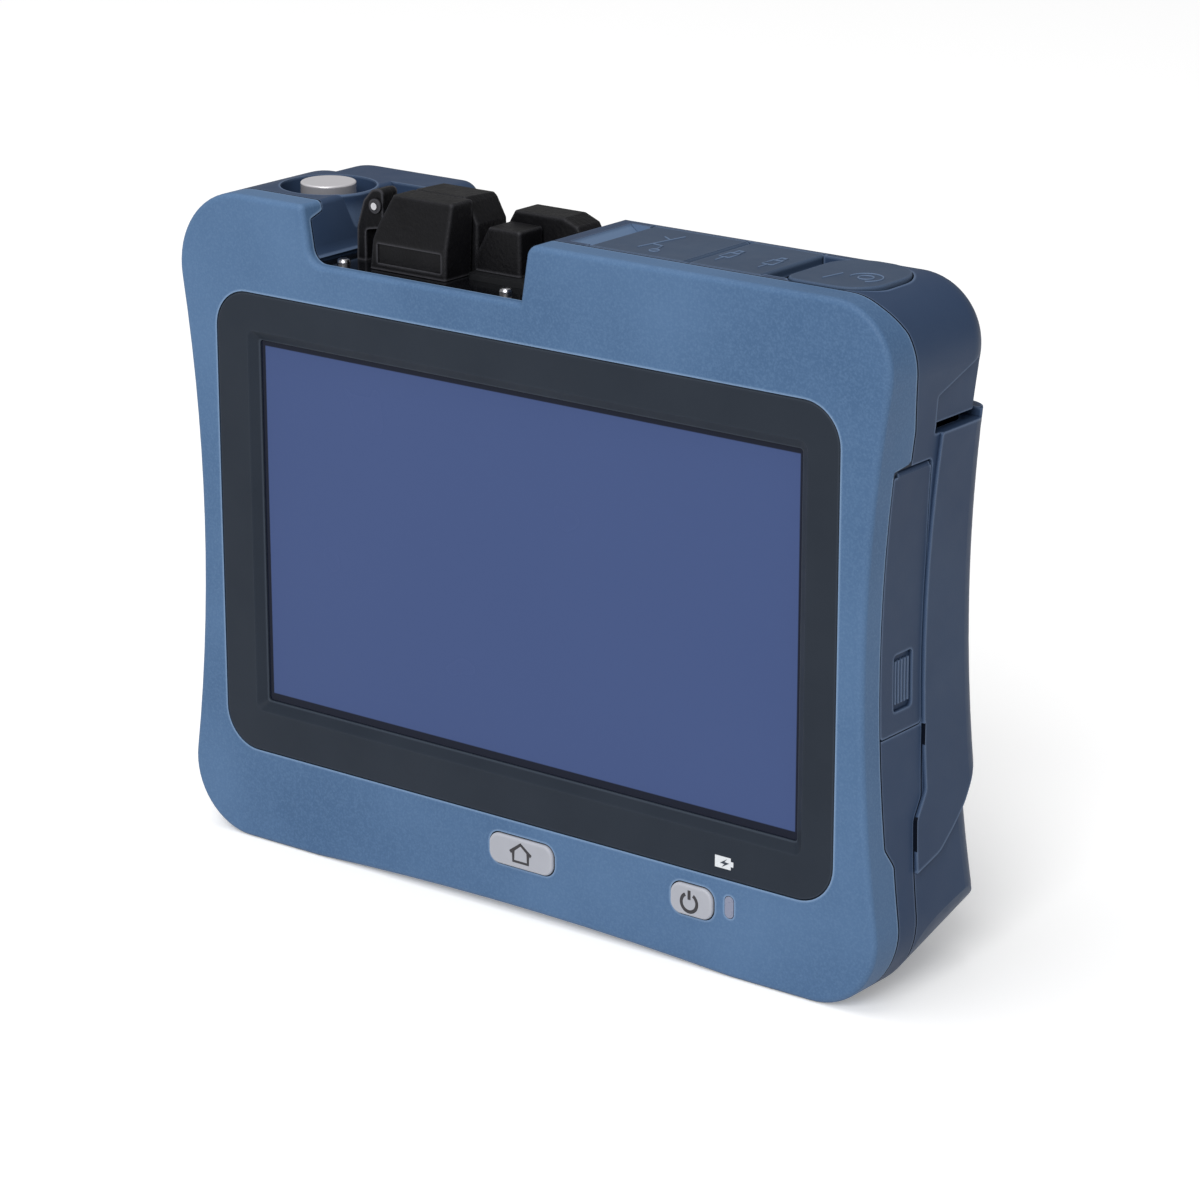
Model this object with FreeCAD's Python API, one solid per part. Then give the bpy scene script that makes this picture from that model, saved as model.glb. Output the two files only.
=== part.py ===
import FreeCAD, Part
import math
import os

# Tablet-style optical time domain reflectometer, in millimetres.
# Modelling frame: X to the right, Y from the front face towards the back, Z up from the
# surface it stands on. Every solid is moved back by half the depth when it is exported,
# so that the origin is the middle of the bottom.

os.makedirs("parts", exist_ok=True)
V = FreeCAD.Vector

# ---------------------------------------------------------------- driving dimensions
CASE_W = 201.6          # width at the shoulders
CASE_H = 159.5          # height of the case
CASE_D = 67.2           # front face to the back of the rear bulge
SLAB_D = 40.0           # depth of the case at its top, beside the bulge
SLAB_LOW_D = 45.0       # depth of the case at its foot
TOP_R = 15.0            # upper right corner of the outline
TOP_LEFT_R = 19.0       # upper left corner of the outline
BOT_R = 17.0            # lower corners of the outline
WAIST_IN = 5.6          # how far each side draws in at the waist
WAIST_Z = 78.0          # height of the waist
ARCH_RISE = 1.8         # rise of the arched bottom edge
FOOT_L = 22.0           # flat length that each end stands on
WALL = 2.6              # side walls of the shells
FRONT_WALL = 2.5        # front wall of the front shell
EDGE_R = 1.4            # rounded front edge
REAR_R = 8.0            # rounded rear edge of the case

SEAM_Y = 6.8            # depth of the front shell on the top and along the side door
SEAM_SHOULDER_Y = 13.0  # depth of the front shell on the side above the door
SEAM_FOOT_Y = 9.8       # depth of the front shell near the foot
LINER_Y = 2.4           # depth of the front shell inside the connector bay
BAND_Y = 16.2           # rear edge of the middle band near the foot
BAND_WIDE_Y = 23.2      # rear edge of the middle band and of the door
DOOR_LO_Z = 61.4        # lower edge of the door opening
DOOR_HI_Z = CASE_H - 37.2               # upper edge of the door opening
DOOR_BEND_Z = DOOR_HI_Z - 22.3          # height where its rear edge starts to lean forward

BEZEL_W = CASE_W - 24.5
BEZEL_H = CASE_H - 46.3
BEZEL_R = 9.5
BEZEL_Z = CASE_H / 2 + 0.25             # centre height of the screen bezel
BEZEL_D = 2.2
LIP_W = BEZEL_W - 22.6  # opening of the bezel over the display
LIP_H = BEZEL_H - 24.0
LIP_SHIFT = 0.6         # the opening sits this far right of and above the bezel's centre
LIP_BEVEL = 2.4         # width of the slope that leads down to the display
PANEL_W = BEZEL_W - 12.1
PANEL_H = BEZEL_H - 9.2
PANEL_T = 1.1
DISPLAY_T = 5.7
LEDGE_T = 1.5           # ledge of the front shell that carries the bezel
LEDGE_RIM = 1.0         # how far the ledge reaches past the bezel

HOME_X = 2.3
HOME_Z = 15.8
HOME_W = 18.6
HOME_H = 7.4
POWER_X = 51.0
POWER_Z = 16.2
POWER_W = 11.6
POWER_H = 7.4
BUTTON_R = 2.8
BUTTON_PROUD = 0.8
BUTTON_TRAVEL = 0.8
LED_X = 61.1
LED_Z = 17.0
LED_W = 2.4
LED_H = 5.2

BAY_FLOOR_Z = CASE_H - 13.5             # rim of the connector bay in the front shell
BAY_LEFT_X = -59.1      # left wall of the bay at the floor
BAY_RIGHT_X = 2.4       # right wall of the bay at the floor
BAY_DRAFT = 2.2         # how far each wall leans out over its height
BAY_RIM_R = 1.4         # rounding of the bay's upper edges, seen from the front
BAY_BACK_Y = 32.5       # wall behind the two left caps
BAY_BACK_X = -45.0      # right end of that wall
BAY_CORNER_R = 6.0      # rounding of the block behind the bay's right wall, seen from above
SHOULDER_D = 47.5       # depth of the left shoulder
PLATE_T = 2.0           # connector plate

WELL_X = -71.3          # detector well in the left shoulder
WELL_Y = 21.0
WELL_R = 11.3
WELL_DEPTH = 8.0

FLAP_T = 2.2            # thickness of the port flaps
FLAP_FRONT_Y = 8.0
FLAP_BACK_Y = 32.0
FLAP_LEFT_X = 15.6
FLAP_MID_X = 42.1
FLAP_RIGHT_X = 62.0
SCOOP_W = 6.0           # finger scoops beside the flaps
OVAL_X = 78.6
OVAL_Y = 19.6
OVAL_W = 21.6
OVAL_L = 25.0
KNUCKLE_R = 0.9
TRUNNION_R = 0.6
TRUNNION_L = 0.6

FIT = 0.3               # running clearance between moving pieces
SNUG = 0.1              # clearance of parts that are only assembled

# ---------------------------------------------------------------- general helpers


def to_3d(plane, a, b):
    if plane == "xz":
        return V(a, 0, b)
    if plane == "yz":
        return V(0, a, b)
    return V(a, b, 0)


def normal_of(plane):
    return {"xz": V(0, 1, 0), "yz": V(1, 0, 0), "xy": V(0, 0, 1)}[plane]


def corner(before, here, after, radius):
    """Tangent points and middle point of the arc that rounds one corner."""
    to_a = (before - here)
    to_b = (after - here)
    reach = min(to_a.Length, to_b.Length) * 0.49
    to_a.normalize()
    to_b.normalize()
    half = to_a.getAngle(to_b) / 2
    leg = min(radius / math.tan(half), reach)
    radius = leg * math.tan(half)
    bisector = to_a + to_b
    bisector.normalize()
    centre = here + bisector * (radius / math.sin(half))
    return here + to_a * leg, centre - bisector * radius, here + to_b * leg


def outline_wire(plane, points, radii=0.0):
    """Closed wire through 2-D points; each corner is rounded by its own radius."""
    if not isinstance(radii, (list, tuple)):
        radii = [radii] * len(points)
    spots = [to_3d(plane, a, b) for a, b in points]
    count = len(spots)
    pieces = []
    for i, here in enumerate(spots):
        if radii[i] > 0:
            pieces.append(corner(spots[i - 1], here, spots[(i + 1) % count], radii[i]))
        else:
            pieces.append((here, None, here))
    edges = []
    for i, (start, middle, end) in enumerate(pieces):
        if middle is not None:
            edges.append(Part.Arc(start, middle, end).toShape())
        following = pieces[(i + 1) % count][0]
        if (following - end).Length > 1e-6:
            edges.append(Part.LineSegment(end, following).toShape())
    return Part.Wire(edges)


def extrude(wire_or_face, plane, low, high):
    """Solid between two heights along the plane's normal."""
    face = wire_or_face if wire_or_face.ShapeType != "Wire" else Part.Face(wire_or_face)
    axis = normal_of(plane)
    face = face.copy()
    face.translate(axis * low)
    return face.extrude(axis * (high - low))


def prism(plane, points, low, high, radii=0.0):
    return extrude(outline_wire(plane, points, radii), plane, low, high)


def box(x0, x1, y0, y1, z0, z1):
    return Part.makeBox(x1 - x0, y1 - y0, z1 - z0, V(x0, y0, z0))


def rect_points(cx, cz, w, h):
    return [(cx - w / 2, cz - h / 2), (cx + w / 2, cz - h / 2),
            (cx + w / 2, cz + h / 2), (cx - w / 2, cz + h / 2)]


def plate_xz(cx, cz, w, h, r, y0, y1):
    """Rounded plate that faces the front."""
    return prism("xz", rect_points(cx, cz, w, h), y0, y1, r)


def plate_xy(x0, x1, y0, y1, r, z0, z1):
    """Rounded plate that lies flat."""
    points = [(x0, y0), (x1, y0), (x1, y1), (x0, y1)]
    return prism("xy", points, z0, z1, r)


def cylinder(radius, length, base, axis):
    return Part.makeCylinder(radius, length, base, axis)


def fuse(*shapes):
    result = shapes[0]
    if len(shapes) > 1:
        result = result.fuse(list(shapes[1:]))
    return result.removeSplitter()


def edges_where(shape, test):
    return [e for e in shape.Edges if test(e)]


def lies_at(value, axis, tolerance=1e-4):
    """Test for an edge that lies wholly at one coordinate of an axis."""
    def test(edge):
        bounds = edge.BoundBox
        low = getattr(bounds, axis + "Min")
        high = getattr(bounds, axis + "Max")
        return abs(low - value) < tolerance and abs(high - value) < tolerance
    return test


# ---------------------------------------------------------------- outline of the case

CORNER_DROP = CASE_H - TOP_R - WAIST_Z
WAIST_R = (WAIST_IN ** 2 + CORNER_DROP ** 2) / (2 * WAIST_IN) - TOP_R
WAIST_X = CASE_W / 2 - WAIST_IN
SIDE_CX = WAIST_X + WAIST_R


def side_x(z, inset=0.0):
    """Half width of the case at a height on the waisted side."""
    return SIDE_CX - math.sqrt((WAIST_R + inset) ** 2 - (z - WAIST_Z) ** 2)


def corner_x(radius, z):
    """Distance from the middle of a corner circle that touches the side."""
    return SIDE_CX - math.sqrt((WAIST_R + radius) ** 2 - (WAIST_Z - z) ** 2)


BOT_CX = corner_x(BOT_R, BOT_R)
ARCH_HALF = BOT_CX - FOOT_L
TOP_LEFT_CX = corner_x(TOP_LEFT_R, CASE_H - TOP_LEFT_R)


def tangent_point(cx, cz, radius):
    """Where a corner circle meets the side circle."""
    dx, dz = SIDE_CX - cx, WAIST_Z - cz
    length = math.hypot(dx, dz)
    return cx + dx / length * radius, cz + dz / length * radius


def arc_xz(a, b, c):
    return Part.Arc(to_3d("xz", *a), to_3d("xz", *b), to_3d("xz", *c)).toShape()


def line_xz(a, b):
    return Part.LineSegment(to_3d("xz", *a), to_3d("xz", *b)).toShape()


def case_face(inset=0.0):
    """Waisted outline of the case, drawn in by an inset."""
    diag = math.sqrt(0.5)
    bot_r = BOT_R - inset
    edges = []
    ends = []
    for s, full_r in ((1, TOP_R), (-1, TOP_LEFT_R)):
        top_r = full_r - inset
        top_c = (corner_x(full_r, CASE_H - full_r), CASE_H - full_r)
        upper = tangent_point(*top_c, top_r)
        lower = tangent_point(BOT_CX, BOT_R, bot_r)
        ends.append((s * top_c[0], CASE_H - inset))
        edges += [
            arc_xz(ends[-1], (s * (top_c[0] + top_r * diag), top_c[1] + top_r * diag),
                   (s * upper[0], upper[1])),
            arc_xz((s * upper[0], upper[1]), (s * (WAIST_X - inset), WAIST_Z),
                   (s * lower[0], lower[1])),
            arc_xz((s * lower[0], lower[1]), (s * (BOT_CX + bot_r * diag), BOT_R - bot_r * diag),
                   (s * BOT_CX, inset)),
            line_xz((s * BOT_CX, inset), (s * ARCH_HALF, inset)),
        ]
    edges.append(line_xz(*ends))
    edges.append(arc_xz((ARCH_HALF, inset), (0, inset + ARCH_RISE), (-ARCH_HALF, inset)))
    return Part.Face(Part.Wire(Part.__sortEdges__(edges)))


def bay_wire(grow=0.0):
    """Connector bay seen from the front, widened by a wall on its three sides."""
    top = CASE_H + 5
    floor = BAY_FLOOR_Z - grow
    lean = BAY_DRAFT / (CASE_H - BAY_FLOOR_Z) * (CASE_H - floor)
    left = BAY_LEFT_X - grow
    right = BAY_RIGHT_X + grow
    points = [(left, floor), (right, floor), (right + lean, CASE_H), (right + lean + 9, CASE_H),
              (right + lean + 9, top), (left - lean - 9, top), (left - lean - 9, CASE_H),
              (left - lean, CASE_H)]
    return outline_wire("xz", points, [4.0, 0.8, 3.0, 0, 0, 0, 0, BAY_RIM_R])


# ---------------------------------------------------------------- seams between the shells

FAR = CASE_W            # longer than half the case, for tools that pass right through


def front_region():
    """Everything that belongs to the front shell, seen from the side."""
    points = [(-5, -5), (SEAM_FOOT_Y - 2.2, -5), (SEAM_FOOT_Y - 1.4, BOT_R * 0.45),
              (SEAM_FOOT_Y - 0.5, BOT_R), (SEAM_FOOT_Y, 32.5), (SEAM_Y, 37.0),
              (SEAM_Y, DOOR_HI_Z), (SEAM_SHOULDER_Y, DOOR_HI_Z), (SEAM_SHOULDER_Y, DOOR_HI_Z + 7.7),
              (SEAM_SHOULDER_Y - 2.8, CASE_H - 16.5), (SEAM_SHOULDER_Y - 3.8, CASE_H - 7.5),
              (SEAM_Y, CASE_H - 2.0), (SEAM_Y, CASE_H + 5), (-5, CASE_H + 5)]
    return prism("yz", points, -FAR, FAR, [0, 0, 8, 20, 4, 3, 2, 0, 20, 15, 5, 2, 0, 0])


def liner_region():
    """The rear shell lines the bay nearly up to the front."""
    grow = WALL + 1.0
    points = [(LINER_Y, BAY_FLOOR_Z - WALL - 2), (LINER_Y, CASE_H - 3.5), (SEAM_Y, CASE_H - 2.2),
              (SEAM_Y, CASE_H - 1.0), (SEAM_SHOULDER_Y, CASE_H - 1.0),
              (SEAM_SHOULDER_Y, BAY_FLOOR_Z - WALL - 2)]
    right = BAY_RIGHT_X + BAY_DRAFT + grow
    left = BAY_LEFT_X - BAY_DRAFT - grow
    return prism("yz", points, left, right, [0, 0.8, 0.8, 0, 0, 0])


def band_region():
    """Middle band: under the door on the right, under the case, and up the left side."""
    lower = [(SEAM_Y - 3, -5), (BAND_Y - 1, -5), (BAND_Y, BOT_R), (BAND_Y + 1.0, 30.0),
             (BAND_Y + 2.4, 40.5), (BAND_WIDE_Y - 1.2, 45.0), (BAND_WIDE_Y, DOOR_LO_Z),
             (SEAM_Y - 3, DOOR_LO_Z)]
    left = [(SEAM_Y - 3, DOOR_LO_Z - 1), (BAND_WIDE_Y, DOOR_LO_Z - 1),
            (BAND_WIDE_Y, DOOR_BEND_Z), (BAND_WIDE_Y - 1.8, DOOR_HI_Z), (SEAM_Y - 3, DOOR_HI_Z)]
    return fuse(prism("yz", lower, -FAR, FAR, [0, 0, 8, 20, 2.5, 2.5, 0, 0]),
                prism("yz", left, -FAR, -CASE_W / 4, [0, 0, 60, 1.5, 0]))


def door_outline(gap):
    """Side door seen from the side."""
    return [(SEAM_Y + gap, DOOR_LO_Z + gap), (BAND_WIDE_Y - gap, DOOR_LO_Z + gap),
            (BAND_WIDE_Y - gap, DOOR_BEND_Z), (BAND_WIDE_Y - 1.8 - gap, DOOR_HI_Z - gap),
            (SEAM_Y + gap, DOOR_HI_Z - gap)]


# ---------------------------------------------------------------- case shells

RISE_Y = 13.5           # the bottom rises behind this depth, beside the bulge
RISE = 0.3
RISE_SIDE = 0.4         # how far the rising corners keep outside the case's own corners
BULGE_HALF = CASE_W / 2 - 26.8
BULGE_TOP = CASE_H - 17.5
BULGE_R = 9.0
GRIP_LO = 28.7
GRIP_HI = DOOR_HI_Z + 7.4
GRIP_D = 43.0                           # depth of the grips at their upper end
GRIP_LOW_D = 47.5                       # depth of the grips at their lower end
GRIP_R = 6.5
GRIP_PROUD = 0.8
GRIP_X = CASE_W * 0.36                  # the grips lie outside this
POCKET_T = 0.6
SLOT_H = 2.3
SLOT_T = 4.5
GROOVE = 0.3                            # width and depth of the grooves along the seams


def rear_rise(lift=0.0):
    """What is missing under the rear: the bottom and its rounded corners rise together."""
    length = SLAB_LOW_D + 8 - RISE_Y
    half = BOT_CX + BOT_R + RISE_SIDE
    high = CASE_H / 2
    wire = outline_wire("xz", [(-half, lift), (half, lift), (half, high), (-half, high)],
                        [BOT_R, BOT_R, 0, 0])
    wire.translate(V(0, RISE_Y, 0))
    kept = Part.Face(wire).extrude(V(0, length, RISE * length))
    return box(-FAR, FAR, RISE_Y, RISE_Y + length, -5, high - 10).cut(kept)


def leaning_form(outline, y0, low, high, radius):
    """Outline carried back to a leaning rear face whose edge is rounded.

    low and high are the (depth, height) of two points of that face.
    """
    slope = (high[0] - low[0]) / (high[1] - low[1])

    def depth_at(z):
        return low[0] + slope * (z - low[1])

    def on_face(edge):
        spots = [edge.valueAt(edge.FirstParameter + (edge.LastParameter - edge.FirstParameter) * k)
                 for k in (0.0, 0.37, 1.0)]
        return all(abs(v.y - depth_at(v.z)) < 1e-3 for v in spots)

    top, bottom = CASE_H + 5, -5
    limit = prism("yz", [(y0 - 1, bottom), (depth_at(bottom), bottom), (depth_at(top), top), (y0 - 1, top)],
                  -FAR, FAR)
    form = extrude(outline, "xz", y0, max(low[0], high[0]) + 2).common(limit)
    return form.makeFillet(radius, edges_where(form, on_face))


def slab_form(inset=0.0, y0=0.0):
    """Form of the case without the bulge, deeper towards its foot."""
    return leaning_form(case_face(inset), y0, (SLAB_LOW_D - inset, 0), (SLAB_D - inset, CASE_H),
                        REAR_R - inset)


def bulge_wire(inset=0.0):
    """Rear bulge seen from the side: flat bottom, straight back, sloping top."""
    back = CASE_D - inset
    points = [(SLAB_D - 10, inset), (back - 7, inset), (back, 7 + inset), (back, BULGE_TOP - 26),
              (back - 16, BULGE_TOP - inset), (SLAB_D - 10, BULGE_TOP - inset)]
    return outline_wire("yz", points, [0, 4, 6, 20, 8, 0])


def shoulder_blank():
    """Deeper left shoulder that holds the detector well."""
    left, right = -TOP_LEFT_CX - 2, BAY_BACK_X
    points = [(left, BAY_BACK_Y - 14), (right, BAY_BACK_Y - 14), (right, SHOULDER_D), (left, SHOULDER_D)]
    block = prism("xy", points, BULGE_TOP - 30, CASE_H, [0, 0, 5, 6])
    return block.makeFillet(4.0, edges_where(block, lies_at(CASE_H, "Z")))


def bulge_blank():
    block = extrude(bulge_wire(), "yz", -BULGE_HALF, BULGE_HALF)
    ends = [e for e in block.Edges
            if abs(abs(e.CenterOfMass.x) - BULGE_HALF) < 1e-4 and e.BoundBox.YMin > SLAB_D - 11]
    return block.makeFillet(BULGE_R, ends)


def grip_blank():
    """Raised side grips behind the door, on both sides."""
    back = GRIP_LOW_D + 1
    points = [(BAND_WIDE_Y, GRIP_HI), (BAND_WIDE_Y, 46.0), (BAND_Y + 2.4, 40.0),
              (BAND_Y + 1.4, GRIP_LO), (27.0, 31.0), (33.0, 35.0), (38.0, 39.0),
              (46.0, 50.0), (back, 56.0), (back, GRIP_HI)]
    side = leaning_form(case_face(-GRIP_PROUD), BAND_Y, (GRIP_LOW_D, GRIP_LO), (GRIP_D, GRIP_HI), GRIP_R)
    region = prism("yz", points, -FAR, FAR, [3, 3, 2, 0, 8, 15, 15, 10, 0, 0])
    keep = box(-FAR, FAR, 0, CASE_D, 0, CASE_H).cut(box(-GRIP_X, GRIP_X, 0, CASE_D, 0, CASE_H))
    return region.common(side).common(keep)


def bay_corner():
    """Rounds the upright corner of the case behind the bay's right wall."""
    r = BAY_CORNER_R
    x0 = BAY_RIGHT_X - 2
    lean = BAY_DRAFT + 2
    centre = V(x0 + lean + r, SLAB_D - r, BAY_FLOOR_Z)
    block = box(x0, centre.x, centre.y, SLAB_D + 5, BAY_FLOOR_Z, CASE_H + 1)
    return block.cut(cylinder(r, CASE_H, centre, V(0, 0, 1)))


def skin(depth, region):
    """Part of a region that lies within a depth under the waisted side."""
    shell = extrude(case_face(-1), "xz", 0, CASE_D).cut(extrude(case_face(depth), "xz", -1, CASE_D + 1))
    return shell.common(region)


def pocket_tool():
    """Strap pocket above each grip: a shallow slanted recess that ends in a slot."""
    front = BAND_WIDE_Y - 2.2
    shallow = [(front, GRIP_HI - 0.2), (front - 0.8, GRIP_HI + 6.6), (front + 24, GRIP_HI + 16.8),
               (front + 24, GRIP_HI - 0.2)]
    slot = [(front, GRIP_HI - SLOT_H + 0.2), (front, GRIP_HI + 0.3), (front + 18, GRIP_HI + 0.3),
            (front + 18, GRIP_HI - SLOT_H + 0.2)]
    return fuse(skin(POCKET_T, prism("yz", shallow, -FAR, FAR, [0, 0.8, 0, 0])),
                skin(SLOT_T, prism("yz", slot, -FAR, FAR, [0.6, 0.6, 0, 0])))


def seam_groove(region):
    """Fine groove just behind the rear edge of a region, all around the case."""
    behind = region.copy()
    behind.translate(V(0, GROOVE, 0))
    return skin(GROOVE, behind)


# ---------------------------------------------------------------- the nodes

NODES = {}


def add(name, *solids):
    shape = solids[0] if len(solids) == 1 else Part.makeCompound(list(solids))
    NODES[name] = shape


def cavity():
    """Room inside the shells, clear of the bay, the well and the port tray."""
    room = slab_form(WALL, FRONT_WALL).cut(rear_rise(WALL * 1.2))
    inner = extrude(bulge_wire(WALL), "yz", -BULGE_HALF + WALL, BULGE_HALF - WALL)
    return room.fuse(inner)


BEZEL_Y = BEZEL_D                       # the ledge behind the bezel
PANEL_Y = BEZEL_Y                       # front of the touch panel
DISPLAY_Y = PANEL_Y + PANEL_T           # front of the display module
CHASSIS_Y = DISPLAY_Y + DISPLAY_T       # front of the inner chassis
CHASSIS_T = 1.0
STANDOFF = 2.4
BOARD_T = 1.6
BOARD_Y = CHASSIS_Y + CHASSIS_T + STANDOFF
PLATE_Z = BAY_FLOOR_Z - 0.2             # top of the connector plate
SHELF_Z = PLATE_Z - PLATE_T             # top of the rear shell's floor under the plate
SHELF_T = 2.6
TRAY_Z = CASE_H - FLAP_T - FIT          # floor under the port flaps
TRAY_T = 2.0
HINGE_Z = CASE_H - KNUCKLE_R - 0.1
SCREW_X = CASE_W / 2 - 10.8
SCREW_AT = [(x, z) for z in (18.0, CASE_H - 18.5) for x in (-SCREW_X, SCREW_X)]
SCREW_POST_R = 3.4
SCREW_R = 1.25
SCREW_HEAD_R = 2.8
SCREW_HEAD_T = 2.0
POST_SPLIT_Y = 9.0                      # front and rear screw posts meet here
BUTTONS = {"home_button": (HOME_X, HOME_Z, HOME_W, HOME_H),
           "power_button": (POWER_X, POWER_Z, POWER_W, POWER_H)}
FLANGE = 1.2                            # rim that keeps a button in the shell
RIM_T = 1.0
STEM_L = 0.5
SWITCH_T = 0.8
STEM_BACK_Y = FRONT_WALL + FIT + RIM_T + STEM_L
KEYPAD_Y = STEM_BACK_Y + BUTTON_TRAVEL + SNUG + SWITCH_T
KEYPAD_T = 1.6
KEYPAD_X0, KEYPAD_X1, KEYPAD_Z0, KEYPAD_Z1 = -12.0, 67.0, 8.0, 20.0
KEYPAD_POSTS = [(-9.5, 10.5), (28.0, 10.5), (64.5, 10.5)]


def ring_screws(radius, y0, y1):
    return [cylinder(radius, y1 - y0, V(x, y0, z), V(0, 1, 0)) for x, z in SCREW_AT]


def make_front_shell():
    blank = extrude(case_face().cut(Part.Face(bay_wire())), "xz", 0, SLAB_D / 2)
    blank = blank.makeFillet(EDGE_R, edges_where(blank, lies_at(0, "Y")))
    shell = blank.common(front_region()).cut(liner_region())
    room = extrude(case_face(WALL), "xz", FRONT_WALL, SLAB_D)
    roof = extrude(bay_wire(WALL), "xz", 0, SLAB_D)
    shell = shell.cut(room.cut(roof))
    ledge = plate_xz(0, BEZEL_Z, BEZEL_W + 2 * LEDGE_RIM, BEZEL_H + 2 * LEDGE_RIM, BEZEL_R,
                     FRONT_WALL - 0.5, BEZEL_Y + LEDGE_T)
    posts = ring_screws(SCREW_POST_R, FRONT_WALL - 0.5, POST_SPLIT_Y)
    posts += [cylinder(2.0, KEYPAD_Y - FRONT_WALL + 0.5, V(x, FRONT_WALL - 0.5, z), V(0, 1, 0))
              for x, z in KEYPAD_POSTS]
    shell = fuse(shell, ledge, *posts)
    seat = plate_xz(0, BEZEL_Z, BEZEL_W + 2 * SNUG, BEZEL_H + 2 * SNUG, BEZEL_R + SNUG, -1, BEZEL_Y)
    window = plate_xz(0, BEZEL_Z, PANEL_W + 2 * SNUG, PANEL_H + 2 * SNUG, 2.0, -1, SLAB_D)
    tools = [seat, window]
    for x, z, w, h in BUTTONS.values():
        tools.append(plate_xz(x, z, w + 2 * FIT, h + 2 * FIT, BUTTON_R + FIT, -1, FRONT_WALL + 1))
    tools.append(plate_xz(LED_X, LED_Z, LED_W + 2 * SNUG, LED_H + 2 * SNUG, LED_W / 2, -1, FRONT_WALL + 1))
    tools += ring_screws(SCREW_R + SNUG, FRONT_WALL + 1, POST_SPLIT_Y + 1)
    tools.append(door_pin_hole())
    return shell.cut(tools)


def make_bezel():
    ring = plate_xz(0, BEZEL_Z, BEZEL_W, BEZEL_H, BEZEL_R, 0, BEZEL_D)
    ring = ring.makeChamfer(0.3, edges_where(ring, lies_at(0, "Y")))
    cx, cz = LIP_SHIFT, BEZEL_Z + LIP_SHIFT
    wide = outline_wire("xz", rect_points(cx, cz, LIP_W + 2 * LIP_BEVEL, LIP_H + 2 * LIP_BEVEL), 2.0)
    narrow = outline_wire("xz", rect_points(cx, cz, LIP_W, LIP_H), 0.8)
    wide.translate(V(0, -0.001, 0))
    narrow.translate(V(0, BEZEL_D - 0.4, 0))
    slope = Part.makeLoft([wide, narrow], True)
    opening = extrude(outline_wire("xz", rect_points(cx, cz, LIP_W, LIP_H), 0.8), "xz", -1, BEZEL_D + 1)
    return ring.cut([slope, opening])


def make_button(x, z, w, h):
    cap = plate_xz(x, z, w, h, BUTTON_R, -BUTTON_PROUD, FRONT_WALL + FIT)
    cap = cap.makeFillet(0.6, edges_where(cap, lies_at(-BUTTON_PROUD, "Y")))
    rim = plate_xz(x, z, w + 2 * FLANGE, h + 2 * FLANGE, BUTTON_R + FLANGE, FRONT_WALL + FIT,
                   STEM_BACK_Y - STEM_L)
    stem = cylinder(1.6, STEM_L, V(x, STEM_BACK_Y - STEM_L, z), V(0, 1, 0))
    return fuse(cap, rim, stem)


def make_led_lens():
    lens = plate_xz(LED_X, LED_Z, LED_W, LED_H, LED_W / 2 - 0.01, -0.15, KEYPAD_Y)
    return lens.makeFillet(0.12, edges_where(lens, lies_at(-0.15, "Y")))


def make_keypad_board():
    board = prism("xz", [(KEYPAD_X0, KEYPAD_Z0), (KEYPAD_X1, KEYPAD_Z0), (KEYPAD_X1, KEYPAD_Z1),
                         (KEYPAD_X0, KEYPAD_Z1)], KEYPAD_Y, KEYPAD_Y + KEYPAD_T, 1.0)
    switches = [cylinder(2.2, SWITCH_T, V(x, KEYPAD_Y - SWITCH_T, z), V(0, 1, 0))
                for x, z, w, h in BUTTONS.values()]
    return fuse(board, *switches)


def make_middle_frame():
    blank = extrude(case_face(), "xz", 0, SLAB_D).cut(rear_rise())
    band = blank.common(band_region()).cut([front_region(), seam_groove(front_region())])
    room = extrude(case_face(WALL), "xz", 0, SLAB_D + 1)
    band = band.cut(room)
    return band


# ---------------------------------------------------------------- connector bay

# Ports: centre x and y, barrel radius, top of the barrel above the plate, bore radius.
PORTS = {"otdr_port": (-34.5, 10.65, 3.0, 8.0, 1.3),
         "filtered_port": (-34.5, 21.5, 3.8, 8.0, 1.3),
         "fault_locator_port": (-15.2, 18.7, 2.6, 6.0, 1.3),
         "source_port": (-9.0, 27.85, 2.6, 7.0, 1.3)}
CAP_WALL = 1.3
CAP_SEAT = 0.15                         # gap between a cap and the plate or flange under it
CAP_TOP = BAY_FLOOR_Z + 17.4
SMALL_CAP_TOP = BAY_FLOOR_Z + 11.8
REAR_CAP_TOP = BAY_FLOOR_Z + 14.2
FLANGE_T = 1.4                          # base flange around the fault locator port
PLATE_SCREW_AT = [(-53.7, 5.8), (-6.3, 6.2)]
PLATE_SCREW_R = 0.9
PLATE_HEAD_R = 1.6
MODULE_TOP = SHELF_Z - SHELF_T - 0.2
PIVOT_X, PIVOT_Z = -48.3, BAY_FLOOR_Z + 13.2
PIVOT_Y = 10.6                          # front of the bracket's eye
PIN_R = 0.9


def cap_left_side(top):
    """Left flank shared by the two large caps, leaning in towards the top."""
    low = PLATE_Z + CAP_SEAT
    return [(-40.4, top), (-44.0, top - 7.2), (-45.2, top - 10.9), (-46.0, low)]


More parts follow.
